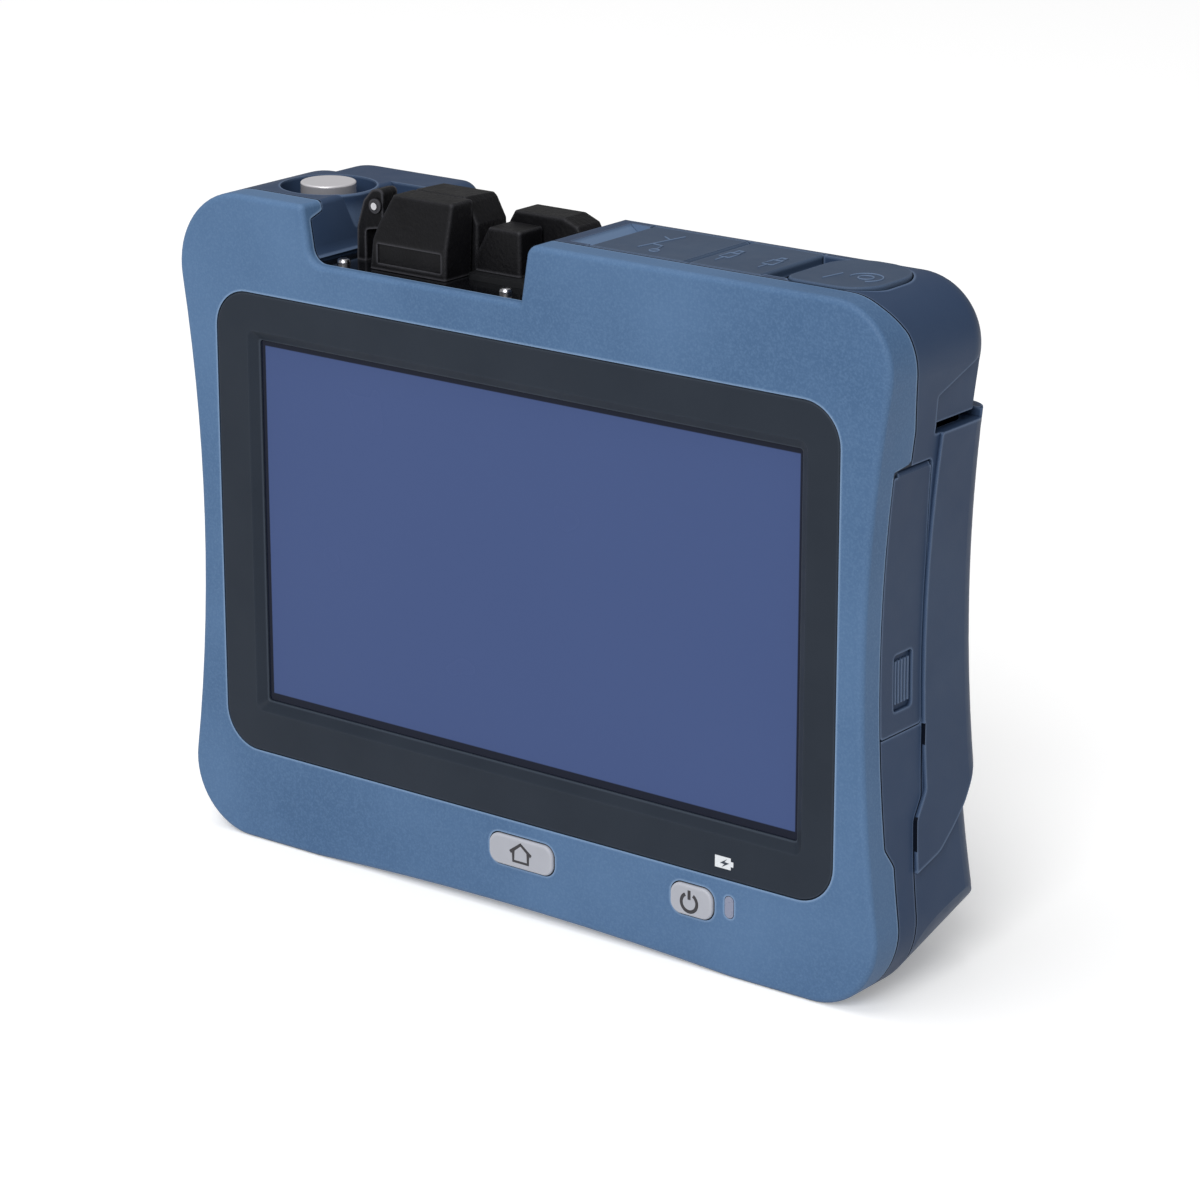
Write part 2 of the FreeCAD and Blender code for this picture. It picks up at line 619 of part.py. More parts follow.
def cap_profiles():
    """Front view and side view of each port cap."""
    low = PLATE_Z + CAP_SEAT
    on_flange = PLATE_Z + FLANGE_T + CAP_SEAT
    return {
        "otdr_cap": (
            [(-23.6, low), (-22.9, CAP_TOP)] + cap_left_side(CAP_TOP),
            [(5.9, low), (5.9, BAY_FLOOR_Z + 7), (7.9, CAP_TOP), (15.4, CAP_TOP), (15.4, low)]),
        "filtered_cap": (
            [(-22.2, low), (-22.2, BAY_FLOOR_Z + 11.5), (-24.6, CAP_TOP - 1.2), (-26.0, CAP_TOP)]
            + cap_left_side(CAP_TOP),
            [(15.8, low), (15.8, CAP_TOP), (26.4, CAP_TOP - 0.4), (27.2, low)]),
        "fault_locator_cap": (
            [(-8.8, on_flange), (-8.8, SMALL_CAP_TOP), (-17.9, SMALL_CAP_TOP), (-21.9, BAY_FLOOR_Z + 4.7),
             (-21.9, on_flange)],
            [(14.4, on_flange), (14.4, SMALL_CAP_TOP), (23.0, SMALL_CAP_TOP), (23.0, on_flange)]),
        "source_cap": (
            [(1.6, low), (1.6, BAY_FLOOR_Z + 10.5), (0.4, REAR_CAP_TOP - 1.6), (-3.6, REAR_CAP_TOP),
             (-17.6, REAR_CAP_TOP), (-19.4, REAR_CAP_TOP - 3.0), (-19.4, low)],
            [(23.5, low), (23.5, REAR_CAP_TOP), (32.2, REAR_CAP_TOP), (32.2, low)])}


def inset_points(points, inset):
    """Polygon drawn in on every side but its open bottom."""
    low = min(b for a, b in points)
    mid_a = sum(a for a, b in points) / len(points)
    result = []
    for a, b in points:
        inner_a = a + inset if a < mid_a else a - inset
        result.append((inner_a, b - 5 if b < low + 0.01 else b - inset))
    return result


def make_cap(front_points, side_points):
    """Hollow cap, open at the bottom: the front view cut to the side view."""
    depth = [a for a, b in side_points]
    width = [a for a, b in front_points]
    y0, y1 = min(depth) - 1, max(depth) + 1
    x0, x1 = min(width) - 1, max(width) + 1
    block = prism("xz", front_points, y0, y1).common(prism("yz", side_points, x0, x1))
    low = min(b for a, b in side_points)
    edges = [e for e in block.Edges if e.BoundBox.ZMax > low + 0.01]
    block = block.makeFillet(0.7, edges)
    inner = prism("xz", inset_points(front_points, CAP_WALL), y0, y1).common(
        prism("yz", inset_points(side_points, CAP_WALL), x0, x1))
    return block.cut(inner)


def make_otdr_cap(front_points, side_points):
    """The large front cap has a shallow panel across its face."""
    cap = make_cap(front_points, side_points)
    face = side_points[0][0]
    panel = box(-43.6, -24.9, face - 1, face + 0.35, BAY_FLOOR_Z + 1.5, BAY_FLOOR_Z + 6.0)
    return cap.cut(panel)


def make_port(x, y, radius, height, bore):
    top = PLATE_Z + height
    barrel = cylinder(radius, top - MODULE_TOP, V(x, y, MODULE_TOP), V(0, 0, 1))
    barrel = barrel.makeChamfer(0.4, [e for e in barrel.Edges if e.BoundBox.ZMin > top - 0.01])
    collar = box(x - radius - 0.9, x + radius + 0.9, y - radius - 0.1, y + radius + 0.1,
                 PLATE_Z, PLATE_Z + 1.0)
    return fuse(barrel, collar).cut(cylinder(bore, height, V(x, y, top - height + 1), V(0, 0, 1)))


def make_flanged_port(x, y, radius, height, bore):
    flange = plate_xy(-21.9, -5.2, 11.6, 23.2, 1.0, PLATE_Z, PLATE_Z + FLANGE_T)
    port = make_port(x, y, radius, height, bore)
    return fuse(port, flange).cut(cylinder(bore, height, V(x, y, PLATE_Z + 1), V(0, 0, 1)))


def make_connector_plate():
    plate = plate_xy(BAY_LEFT_X + SNUG, BAY_RIGHT_X - SNUG, LINER_Y + SNUG, BAY_BACK_Y + 3.8, 0.5,
                     SHELF_Z, PLATE_Z)
    plate = plate.cut(box(BAY_LEFT_X - 1, BAY_BACK_X + SNUG, BAY_BACK_Y - SNUG, SLAB_D,
                          SHELF_Z - 1, PLATE_Z + 1))
    holes = [cylinder(r + SNUG, PLATE_T + 2, V(x, y, SHELF_Z - 1), V(0, 0, 1))
             for x, y, r, h, b in PORTS.values()]
    holes += [cylinder(PLATE_SCREW_R + SNUG, PLATE_T + 2, V(x, y, SHELF_Z - 1), V(0, 0, 1))
              for x, y in PLATE_SCREW_AT]
    return plate.cut(holes)


def make_plate_screws():
    screws = []
    for x, y in PLATE_SCREW_AT:
        head = cylinder(PLATE_HEAD_R, 1.3, V(x, y, PLATE_Z), V(0, 0, 1))
        head = head.makeChamfer(0.4, [e for e in head.Edges if e.BoundBox.ZMin > PLATE_Z + 1.2])
        shank = cylinder(PLATE_SCREW_R, PLATE_T + SHELF_T, V(x, y, PLATE_Z - PLATE_T - SHELF_T), V(0, 0, 1))
        screws.append(fuse(head, shank))
    return screws


def make_cap_bracket():
    """Bracket with a post and an eye, where the large caps are tied when they are off."""
    low = PLATE_Z
    points = [(-54.4, low), (-51.7, low), (-51.7, low + 7.4), (-46.5, low + 8.4),
              (-46.5, low + 17.4), (-49.6, low + 17.0), (-52.2, low + 14.2), (-54.2, low + 8.0)]
    arm = prism("xz", points, PIVOT_Y + 0.8, PIVOT_Y + 6.0, [0, 0, 1, 0.6, 1.2, 1.5, 2, 2])
    eye = cylinder(1.7, 1.2, V(PIVOT_X, PIVOT_Y, PIVOT_Z), V(0, 1, 0))
    return fuse(arm, eye).cut(cylinder(PIN_R, 12, V(PIVOT_X, PIVOT_Y - 3, PIVOT_Z), V(0, 1, 0)))


def make_cap_pin():
    return cylinder(PIN_R - SNUG / 2, 6.7, V(PIVOT_X, PIVOT_Y - 0.3, PIVOT_Z), V(0, 1, 0))


# ---------------------------------------------------------------- detector well

DETECTOR_R = 5.6
DETECTOR_H = 4.2
CAP_R = 6.55
CAP_FOOT_R = 6.95
WELL_FLOOR_Z = CASE_H - WELL_DEPTH
DETECTOR_CAP_TOP = CASE_H + 0.9


def well_tub():
    depth = WELL_DEPTH + 2.0
    return cylinder(WELL_R + 2.0, depth, V(WELL_X, WELL_Y, CASE_H - depth), V(0, 0, 1))


def make_detector_port():
    """Detector behind a window at the bottom of a short threaded neck."""
    base = V(WELL_X, WELL_Y, WELL_FLOOR_Z)
    neck = cylinder(DETECTOR_R, DETECTOR_H, base, V(0, 0, 1))
    return neck.cut(cylinder(DETECTOR_R - 1.4, DETECTOR_H, base + V(0, 0, 1.2), V(0, 0, 1)))


def make_detector_cap():
    """Turned metal dust cap, revolved about the well's axis."""
    low = WELL_FLOOR_Z + FIT
    top = DETECTOR_CAP_TOP
    inner = DETECTOR_R + FIT
    points = [(0, top), (CAP_R, top), (CAP_R, low + 2.2), (CAP_FOOT_R, low + 1.4), (CAP_FOOT_R, low),
              (inner, low), (inner, top - 1.6), (0, top - 1.6)]
    profile = Part.Face(outline_wire("xz", points, [0, 0.45, 0.4, 0.3, 0, 0, 0, 0]))
    cap = profile.revolve(V(0, 0, 0), V(0, 0, 1), 360)
    cap.translate(V(WELL_X, WELL_Y, 0))
    return cap


# ---------------------------------------------------------------- top flaps and their ports

JACK_H = 13.0
IO_BOARD_T = 1.6
IO_BOARD_TOP = TRAY_Z - JACK_H
IO_POSTS = [(18.2, 12.0), (18.2, 28.0), (40.8, 20.0), (64.5, 20.0), (81.0, 28.5)]
IO_POST_R = 1.8
DC_PROUD = 0.6
HINGE_XS = {"ethernet_flap": FLAP_MID_X - FIT / 2 - KNUCKLE_R,
            "usb_flap": FLAP_MID_X + FIT / 2 + KNUCKLE_R}
# Jacks: centre x and y, outer width and depth, width and depth of the mouth.
ETHERNET_AT = (28.5, 20.0, 16.4, 14.6, 11.8, 8.0)
USB_AT = {"usb_jack_front": (52.0, 14.5, 14.4, 7.4, 12.4, 5.1),
          "usb_jack_rear": (52.0, 25.5, 14.4, 7.4, 12.4, 5.1)}
DC_AT = (OVAL_X - 1.0, OVAL_Y, 11.0, 11.0, 6.4, 6.4)


def tray_block():
    """Floor and walls below the flaps and the power cover."""
    return box(FLAP_LEFT_X - SCOOP_W - 3, OVAL_X + OVAL_W / 2 + 3.5, SEAM_Y, FLAP_BACK_Y + 3,
               TRAY_Z - TRAY_T, CASE_H)


def scoop_tool(x0, x1, depth):
    """Finger scoop: a shallow trough that runs from front to back."""
    points = [(x0, CASE_H + 1), (x0 + 0.5, CASE_H - 0.5), ((x0 + x1) / 2, CASE_H - depth),
              (x1 + 0.2, CASE_H - depth), (x1 + 0.2, CASE_H + 1)]
    return prism("xz", points, FLAP_FRONT_Y + 1, FLAP_BACK_Y - 1, [0, 1, 1.5, 0, 0])


def trunnion_holes(hinge_x, hinge_z, y0, y1):
    return cylinder(TRUNNION_R + SNUG, y1 - y0 + 2 * TRUNNION_L + 0.4,
                    V(hinge_x, y0 - TRUNNION_L - 0.2, hinge_z), V(0, 1, 0))


def flap_pocket():
    tool = box(FLAP_LEFT_X - FIT, FLAP_RIGHT_X + FIT, FLAP_FRONT_Y - FIT, FLAP_BACK_Y + FIT,
               TRAY_Z, CASE_H + 1)
    holes = [trunnion_holes(x, HINGE_Z, FLAP_FRONT_Y, FLAP_BACK_Y) for x in HINGE_XS.values()]
    return fuse(tool, *holes)


def make_flap(name):
    """Port flap: a plate with a round knuckle and trunnions along its hinge edge."""
    hinge_x = HINGE_XS[name]
    free_x = FLAP_LEFT_X if name == "ethernet_flap" else FLAP_RIGHT_X
    x0, x1 = min(free_x, hinge_x), max(free_x, hinge_x)
    plate = plate_xy(x0, x1, FLAP_FRONT_Y, FLAP_BACK_Y, 0.0, CASE_H - FLAP_T, CASE_H)
    free = [e for e in plate.Edges
            if abs(e.CenterOfMass.x - free_x) < 0.01 and e.BoundBox.ZMin > CASE_H - 0.1]
    plate = plate.makeFillet(0.8, free)
    knuckle = cylinder(KNUCKLE_R, FLAP_BACK_Y - FLAP_FRONT_Y, V(hinge_x, FLAP_FRONT_Y, HINGE_Z), V(0, 1, 0))
    pin = cylinder(TRUNNION_R, FLAP_BACK_Y - FLAP_FRONT_Y + 2 * TRUNNION_L,
                   V(hinge_x, FLAP_FRONT_Y - TRUNNION_L, HINGE_Z), V(0, 1, 0))
    return fuse(plate, knuckle, pin)


def oval_wire(grow=0.0):
    """Power cover seen from above: an oval that is squarer at its front left."""
    x0, x1 = OVAL_X - OVAL_W / 2 - grow, OVAL_X + OVAL_W / 2 + grow
    y0, y1 = OVAL_Y - OVAL_L / 2 - grow, OVAL_Y + OVAL_L / 2 + grow
    radii = [4.0 + grow, 8.5 + grow, 10.4 + grow, 9.0 + grow]
    return outline_wire("xy", [(x0, y0), (x1, y0), (x1, y1), (x0, y1)], radii)


def oval_pocket():
    return extrude(oval_wire(FIT), "xy", TRAY_Z, CASE_H + 2)


def make_dc_cover():
    """Soft cover that is pulled up out of its well."""
    cover = extrude(oval_wire(), "xy", CASE_H - FLAP_T, CASE_H + DC_PROUD)
    return cover.makeFillet(0.5, edges_where(cover, lies_at(CASE_H + DC_PROUD, "Z")))


def make_jack(x, y, w, d, mouth_w, mouth_d):
    """Socket that opens upwards, standing on the port board."""
    body = box(x - w / 2, x + w / 2, y - d / 2, y + d / 2, IO_BOARD_TOP, TRAY_Z - SNUG)
    return body.cut(box(x - mouth_w / 2, x + mouth_w / 2, y - mouth_d / 2, y + mouth_d / 2,
                        IO_BOARD_TOP + 2, CASE_H))


def make_dc_jack(x, y, w, d, mouth_w, mouth_d):
    """Round power socket with its centre pin."""
    body = box(x - w / 2, x + w / 2, y - d / 2, y + d / 2, IO_BOARD_TOP, TRAY_Z - SNUG)
    body = body.cut(cylinder(mouth_w / 2, JACK_H, V(x, y, IO_BOARD_TOP + 2), V(0, 0, 1)))
    return fuse(body, cylinder(1.0, JACK_H - 3, V(x, y, IO_BOARD_TOP + 1), V(0, 0, 1)))


def jack_holes():
    tools = []
    for x, y, w, d, mouth_w, mouth_d in [ETHERNET_AT, *USB_AT.values(), DC_AT]:
        tools.append(box(x - w / 2 - SNUG, x + w / 2 + SNUG, y - d / 2 - SNUG, y + d / 2 + SNUG,
                         TRAY_Z - TRAY_T - 1, CASE_H))
    return tools


def make_io_board():
    return box(FLAP_LEFT_X + 0.8, OVAL_X + OVAL_W / 2 - 5.2, FLAP_FRONT_Y + 1, FLAP_BACK_Y - 1,
               IO_BOARD_TOP - IO_BOARD_T, IO_BOARD_TOP)


# ---------------------------------------------------------------- side door and battery

DOOR_T = 2.2
DOOR_KNUCKLE_R = 1.25
DOOR_HINGE_Z = DOOR_HI_Z - FIT - DOOR_KNUCKLE_R
DOOR_HINGE_X = side_x(DOOR_HINGE_Z) - DOOR_KNUCKLE_R * 1.01
DOOR_BACK_HI_Y = BAND_WIDE_Y - 1.8 - FIT
FRAME_T = 2.0                           # ledge inside the door opening
BATTERY_W = 36.0
BATTERY_T = 10.6
BATTERY_H = DOOR_HI_Z - DOOR_LO_Z - 6.3
TRAY_WALL = 1.2
BATTERY_Z0 = DOOR_LO_Z + 2.6
BATTERY_Y0 = CHASSIS_Y + TRAY_WALL
GRIP_Y0, GRIP_Y1, GRIP_Z0, GRIP_Z1 = 12.1, 19.3, 66.6, 79.6


def door_edge_cut():
    """Door opening in the side, square along the front shell."""
    return prism("yz", door_outline(0.0), CASE_W / 4, FAR, [0, 1.5, 60, 1.5, 0])


def make_side_door():
    region = prism("yz", door_outline(FIT), CASE_W / 4, FAR, [0.8, 1.2, 60, 1.2, 2.0])
    below = box(0, FAR, 0, CASE_D, 0, DOOR_HINGE_Z)
    door = extrude(case_face(), "xz", 0, SLAB_D).cut(extrude(case_face(DOOR_T), "xz", -1, SLAB_D + 1))
    door = door.common(region).common(below)
    grip_points = [(GRIP_Y0, GRIP_Z0), (GRIP_Y1, GRIP_Z0), (GRIP_Y1, GRIP_Z1), (GRIP_Y0, GRIP_Z1)]
    grip = skin(0.9, prism("yz", grip_points, CASE_W / 4, FAR, 1.0))
    door = door.cut(grip)
    ribs = 5
    pitch = (GRIP_Y1 - GRIP_Y0) / (ribs + 1)
    for i in range(ribs):
        y = GRIP_Y0 + pitch * (i + 1)
        bar = prism("yz", [(y - 0.3, GRIP_Z0 + 1.6), (y + 0.3, GRIP_Z0 + 1.6), (y + 0.3, GRIP_Z1 - 1.6),
                           (y - 0.3, GRIP_Z1 - 1.6)], CASE_W / 4, FAR)
        door = door.fuse(extrude(case_face(0.25), "xz", 0, SLAB_D).cut(
            extrude(case_face(1.2), "xz", -1, SLAB_D + 1)).common(bar))
    y0 = SEAM_Y + FIT
    knuckle = cylinder(DOOR_KNUCKLE_R, DOOR_BACK_HI_Y - y0 - 2.0,
                       V(DOOR_HINGE_X, y0 + 1.5, DOOR_HINGE_Z), V(0, 1, 0))
    pin = cylinder(TRUNNION_R, DOOR_BACK_HI_Y - y0 + 2 * TRUNNION_L,
                   V(DOOR_HINGE_X, y0 - TRUNNION_L, DOOR_HINGE_Z), V(0, 1, 0))
    return fuse(door, knuckle, pin)


def door_pin_hole():
    y0 = SEAM_Y + FIT
    return trunnion_holes(DOOR_HINGE_X, DOOR_HINGE_Z, y0, DOOR_BACK_HI_Y)


def door_frame():
    """Ledge behind the door with the mouth of the battery bay."""
    region = prism("yz", [(SEAM_Y + 0.2, DOOR_LO_Z - 4), (BAND_WIDE_Y + 3, DOOR_LO_Z - 4),
                          (BAND_WIDE_Y + 3, DOOR_HI_Z + 3), (SEAM_Y + 0.2, DOOR_HI_Z + 3)], CASE_W / 4, FAR)
    ledge = extrude(case_face(WALL), "xz", 0, SLAB_D).cut(
        extrude(case_face(WALL + FRAME_T), "xz", -1, SLAB_D + 1))
    mouth = box(0, FAR, BATTERY_Y0 - FIT, BATTERY_Y0 + BATTERY_T + FIT, BATTERY_Z0 - FIT,
                BATTERY_Z0 + BATTERY_H + FIT)
    clear = cylinder(DOOR_KNUCKLE_R + FIT, SLAB_D, V(DOOR_HINGE_X, 0, DOOR_HINGE_Z), V(0, 1, 0))
    return ledge.common(region).cut([mouth, clear, front_region()])


BATTERY_X1 = side_x(WAIST_Z, WALL + FRAME_T) - 0.4


def make_battery_tray():
    """Open box that the battery slides into from the side."""
    wall = TRAY_WALL
    x0 = BATTERY_X1 - BATTERY_W - wall
    y1 = BATTERY_Y0 + BATTERY_T
    outer = box(x0, BATTERY_X1, CHASSIS_Y, y1 + wall, BATTERY_Z0 - wall, BATTERY_Z0 + BATTERY_H + wall)
    return outer.cut(box(x0 + wall, BATTERY_X1 + 1, CHASSIS_Y + wall - SNUG, y1 + SNUG,
                         BATTERY_Z0 - SNUG, BATTERY_Z0 + BATTERY_H + SNUG))


def make_battery_pack():
    pack = box(BATTERY_X1 - BATTERY_W, BATTERY_X1, BATTERY_Y0, BATTERY_Y0 + BATTERY_T,
               BATTERY_Z0, BATTERY_Z0 + BATTERY_H)
    return pack.makeFillet(1.2, [e for e in pack.Edges if e.BoundBox.XLength > BATTERY_W - 1])


# ---------------------------------------------------------------- boards and optics

CHASSIS_X0 = 18.8 - CASE_W / 2
CHASSIS_X1 = BATTERY_X1 - BATTERY_W - TRAY_WALL - 1.0
CHASSIS_Z0, CHASSIS_Z1 = 32.0, CASE_H - 31.5
STANDOFF_R = 2.5
STANDOFF_AT = [(x, z) for x in (CHASSIS_X0 + 10, (CHASSIS_X0 + CHASSIS_X1) / 2, CHASSIS_X1 - 10)
               for z in (CHASSIS_Z0 + 10, CHASSIS_Z1 - 10)]
MODULE_X0, MODULE_X1, MODULE_Z0 = -58.0, 2.0, 90.0
MODULE_D = 19.0


def make_chassis():
    sheet = prism("xz", [(CHASSIS_X0, CHASSIS_Z0), (CHASSIS_X1, CHASSIS_Z0), (CHASSIS_X1, CHASSIS_Z1),
                         (CHASSIS_X0, CHASSIS_Z1)], CHASSIS_Y, CHASSIS_Y + CHASSIS_T, 4.0)
    posts = [cylinder(STANDOFF_R, STANDOFF, V(x, CHASSIS_Y + CHASSIS_T, z), V(0, 1, 0))
             for x, z in STANDOFF_AT]
    return fuse(sheet, *posts)


def make_main_board():
    return prism("xz", [(CHASSIS_X0 + 4, CHASSIS_Z0 + 2), (CHASSIS_X1 - 2, CHASSIS_Z0 + 2),
                        (CHASSIS_X1 - 2, CHASSIS_Z1 - 2), (CHASSIS_X0 + 4, CHASSIS_Z1 - 2)],
                 BOARD_Y, BOARD_Y + BOARD_T, 2.0)


def make_optical_module():
    y0 = BOARD_Y + BOARD_T
    block = box(MODULE_X0, MODULE_X1, y0, y0 + MODULE_D, MODULE_Z0, MODULE_TOP)
    return block.makeFillet(1.5, [e for e in block.Edges if e.BoundBox.YLength > MODULE_D - 1])


# ---------------------------------------------------------------- kickstand

STAND_W = 76.0
STAND_H = 80.0
STAND_T = 2.8
STAND_R = 1.5
STAND_PIVOT_Z = 96.0
STAND_PIVOT_Y = CASE_D - 0.1 - STAND_R
STAND_PIN_R = 0.8
STAND_GAP = 0.5


def stand_recess():
    low = STAND_PIVOT_Z - STAND_H
    tool = box(-STAND_W / 2 - STAND_GAP, STAND_W / 2 + STAND_GAP, CASE_D - STAND_T - STAND_GAP, CASE_D + 1,
               low - STAND_GAP, STAND_PIVOT_Z + STAND_R + STAND_GAP)
    finger = cylinder(12.0, 8.0, V(0, CASE_D - 4.0, low - 4.0), V(0, 1, 0))
    reach = STAND_W / 2 + 4.2
    bore = cylinder(STAND_PIN_R + SNUG, 2 * reach, V(-reach, STAND_PIVOT_Y, STAND_PIVOT_Z), V(1, 0, 0))
    return fuse(tool, finger, bore)


def stand_backing():
    """The bulge is thicker around the stand's recess."""
    return box(-STAND_W / 2 - 6, STAND_W / 2 + 6, CASE_D - 4.0 - WALL, CASE_D,
               STAND_PIVOT_Z - STAND_H - 18, STAND_PIVOT_Z + 6)


def make_kickstand():
    low = STAND_PIVOT_Z - STAND_H
    y0 = CASE_D - 0.1 - STAND_T
    half = STAND_W / 2
    points = [(-half, low), (half, low), (half, STAND_PIVOT_Z), (-half, STAND_PIVOT_Z)]
    plate = prism("xz", points, y0, CASE_D - 0.1, [6, 6, 0, 0])
    pocket = plate_xz(0, low + STAND_H / 2 - 2, STAND_W - 18, STAND_H - 22, 6.0, y0 - 1, y0 + STAND_T - 1.2)
    knuckle = cylinder(STAND_R, STAND_W, V(-STAND_W / 2, STAND_PIVOT_Y, STAND_PIVOT_Z), V(1, 0, 0))
    start = V(-half - 1, STAND_PIVOT_Y, STAND_PIVOT_Z)
    bore = cylinder(STAND_PIN_R + SNUG / 2, STAND_W + 2, start, V(1, 0, 0))
    seat = box(-STAND_W / 2 + 8, STAND_W / 2 - 8, y0 - 1, y0 + 1.0, low + 2, low + 8)
    return fuse(plate.cut([pocket, seat]), knuckle).cut(bore)


def make_kickstand_pin():
    return cylinder(STAND_PIN_R, STAND_W + 8, V(-STAND_W / 2 - 4, STAND_PIVOT_Y, STAND_PIVOT_Z), V(1, 0, 0))


def make_kickstand_pad():
    low = STAND_PIVOT_Z - STAND_H
    y0 = CASE_D - 0.1 - STAND_T
    half = STAND_W / 2 - 8 - SNUG
    return box(-half, half, y0 + 0.1, y0 + 1.0, low + 2 + SNUG, low + 8 - SNUG)


# ---------------------------------------------------------------- rear shell


def make_rear_shell():
    slab = slab_form().cut(rear_rise())
    outer = slab.fuse([shoulder_blank(), bulge_blank(), grip_blank()])
    outer = outer.cut([front_region(), pocket_tool(), bay_corner(), seam_groove(front_region())])
    outer = outer.fuse(extrude(case_face(), "xz", 0, SLAB_D / 2).common(liner_region()))
    bay = extrude(bay_wire(), "xz", -1, BAY_BACK_Y)
    behind = extrude(bay_wire(), "xz", BAY_BACK_Y - 1, CASE_D).common(
        box(BAY_BACK_X, FAR, 0, CASE_D + 1, BAY_FLOOR_Z - 1, CASE_H + 9))
    outer = outer.cut([bay, behind, band_region(), seam_groove(band_region()), door_edge_cut()])
    room = cavity().cut([extrude(bay_wire(WALL), "xz", 0, CASE_D), well_tub(), tray_block(), stand_backing(),
                         *ring_screws(SCREW_POST_R, POST_SPLIT_Y, SLAB_D)])
    shell = outer.cut(room)
    shelf = box(BAY_LEFT_X + 1, BAY_RIGHT_X - 1, LINER_Y + 2, SLAB_D - 1, SHELF_Z - SHELF_T, SHELF_Z)
    posts = [cylinder(IO_POST_R, TRAY_Z - TRAY_T + 0.5 - IO_BOARD_TOP, V(x, y, IO_BOARD_TOP), V(0, 0, 1))
             for x, y in IO_POSTS]
    shell = fuse(shell, shelf, door_frame(), *posts)
    plate_room = box(BAY_LEFT_X, BAY_RIGHT_X, LINER_Y, BAY_BACK_Y + 4, SHELF_Z, BAY_FLOOR_Z + 1)
    plate_room = plate_room.cut(box(BAY_LEFT_X - 1, BAY_BACK_X, BAY_BACK_Y, SLAB_D, SHELF_Z - 1, CASE_H))
    tools = [plate_room, cylinder(WELL_R, WELL_DEPTH + 1, V(WELL_X, WELL_Y, WELL_FLOOR_Z), V(0, 0, 1)),
             flap_pocket(), oval_pocket(), scoop_tool(FLAP_LEFT_X - SCOOP_W, FLAP_LEFT_X, 2.4),
             box(FLAP_RIGHT_X, OVAL_X, FLAP_FRONT_Y + 1, FLAP_BACK_Y - 1, TRAY_Z, CASE_H + 1),
             stand_recess(), door_pin_hole()]
    tools += jack_holes()
    tools += ring_screws(SCREW_R + 0.2, 0, CASE_D)
    tools += ring_screws(SCREW_HEAD_R + 0.3, SLAB_D - SCREW_HEAD_T - 0.3, CASE_D)
    tools += [cylinder(r + SNUG, SHELF_T + 2, V(x, y, SHELF_Z - SHELF_T - 1), V(0, 0, 1))
              for x, y, r, h, b in PORTS.values()]
    tools += [cylinder(PLATE_SCREW_R + SNUG, SHELF_T + 2, V(x, y, SHELF_Z - SHELF_T - 1), V(0, 0, 1))
              for x, y in PLATE_SCREW_AT]
    return shell.cut(tools)


def make_case_screws():
    screws = []
    top = SLAB_D - 0.3
    for x, z in SCREW_AT:
        head = cylinder(SCREW_HEAD_R, SCREW_HEAD_T, V(x, top - SCREW_HEAD_T, z), V(0, 1, 0))
        head = head.makeChamfer(0.5, [e for e in head.Edges if e.BoundBox.YMin > top - 0.1])
        shank = cylinder(SCREW_R, top - SCREW_HEAD_T - 4.0, V(x, 4.0, z), V(0, 1, 0))
        screws.append(fuse(head, shank))
    return screws


print("building")
add("front_shell", make_front_shell())
add("screen_bezel", make_bezel())
add("touch_panel", plate_xz(0, BEZEL_Z, PANEL_W, PANEL_H, 2.0, PANEL_Y, PANEL_Y + PANEL_T))
add("display_module", plate_xz(0, BEZEL_Z, PANEL_W, PANEL_H, 2.0, DISPLAY_Y, DISPLAY_Y + DISPLAY_T))
for button, place in BUTTONS.items():
    add(button, make_button(*place))
add("status_led_lens", make_led_lens())
add("keypad_board", make_keypad_board())
add("middle_frame", make_middle_frame())
add("rear_shell", make_rear_shell())

for port, place in PORTS.items():
    make = make_flanged_port if port == "fault_locator_port" else make_port
    add(port, make(*place))
for cap, profiles in cap_profiles().items():
    make = make_otdr_cap if cap == "otdr_cap" else make_cap
    add(cap, make(*profiles))
add("connector_plate", make_connector_plate())
add("plate_screws", *make_plate_screws())
add("cap_bracket", make_cap_bracket())
add("cap_bracket_pin", make_cap_pin())
add("detector_port", make_detector_port())
add("detector_cap", make_detector_cap())
for flap in HINGE_XS:
    add(flap, make_flap(flap))
add("power_cover", make_dc_cover())
add("ethernet_jack", make_jack(*ETHERNET_AT))
for jack, place in USB_AT.items():
    add(jack, make_jack(*place))
add("power_jack", make_dc_jack(*DC_AT))
add("port_board", make_io_board())
add("side_door", make_side_door())
add("battery_tray", make_battery_tray())
add("battery_pack", make_battery_pack())
add("inner_chassis", make_chassis())
add("main_board", make_main_board())
add("optical_module", make_optical_module())
add("kickstand", make_kickstand())
add("kickstand_pin", make_kickstand_pin())
add("kickstand_pad", make_kickstand_pad())
add("case_screws", *make_case_screws())

for name, shape in NODES.items():
    shape = shape.copy()
    shape.translate(V(0, BUTTON_PROUD / 2 - CASE_D / 2, 0))
    shape.exportStep("parts/" + name + ".step")
    print(name, len(shape.Solids), round(shape.Volume, 1), shape.isValid())
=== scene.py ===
import bpy
import bmesh
import math
from mathutils import Matrix, Vector


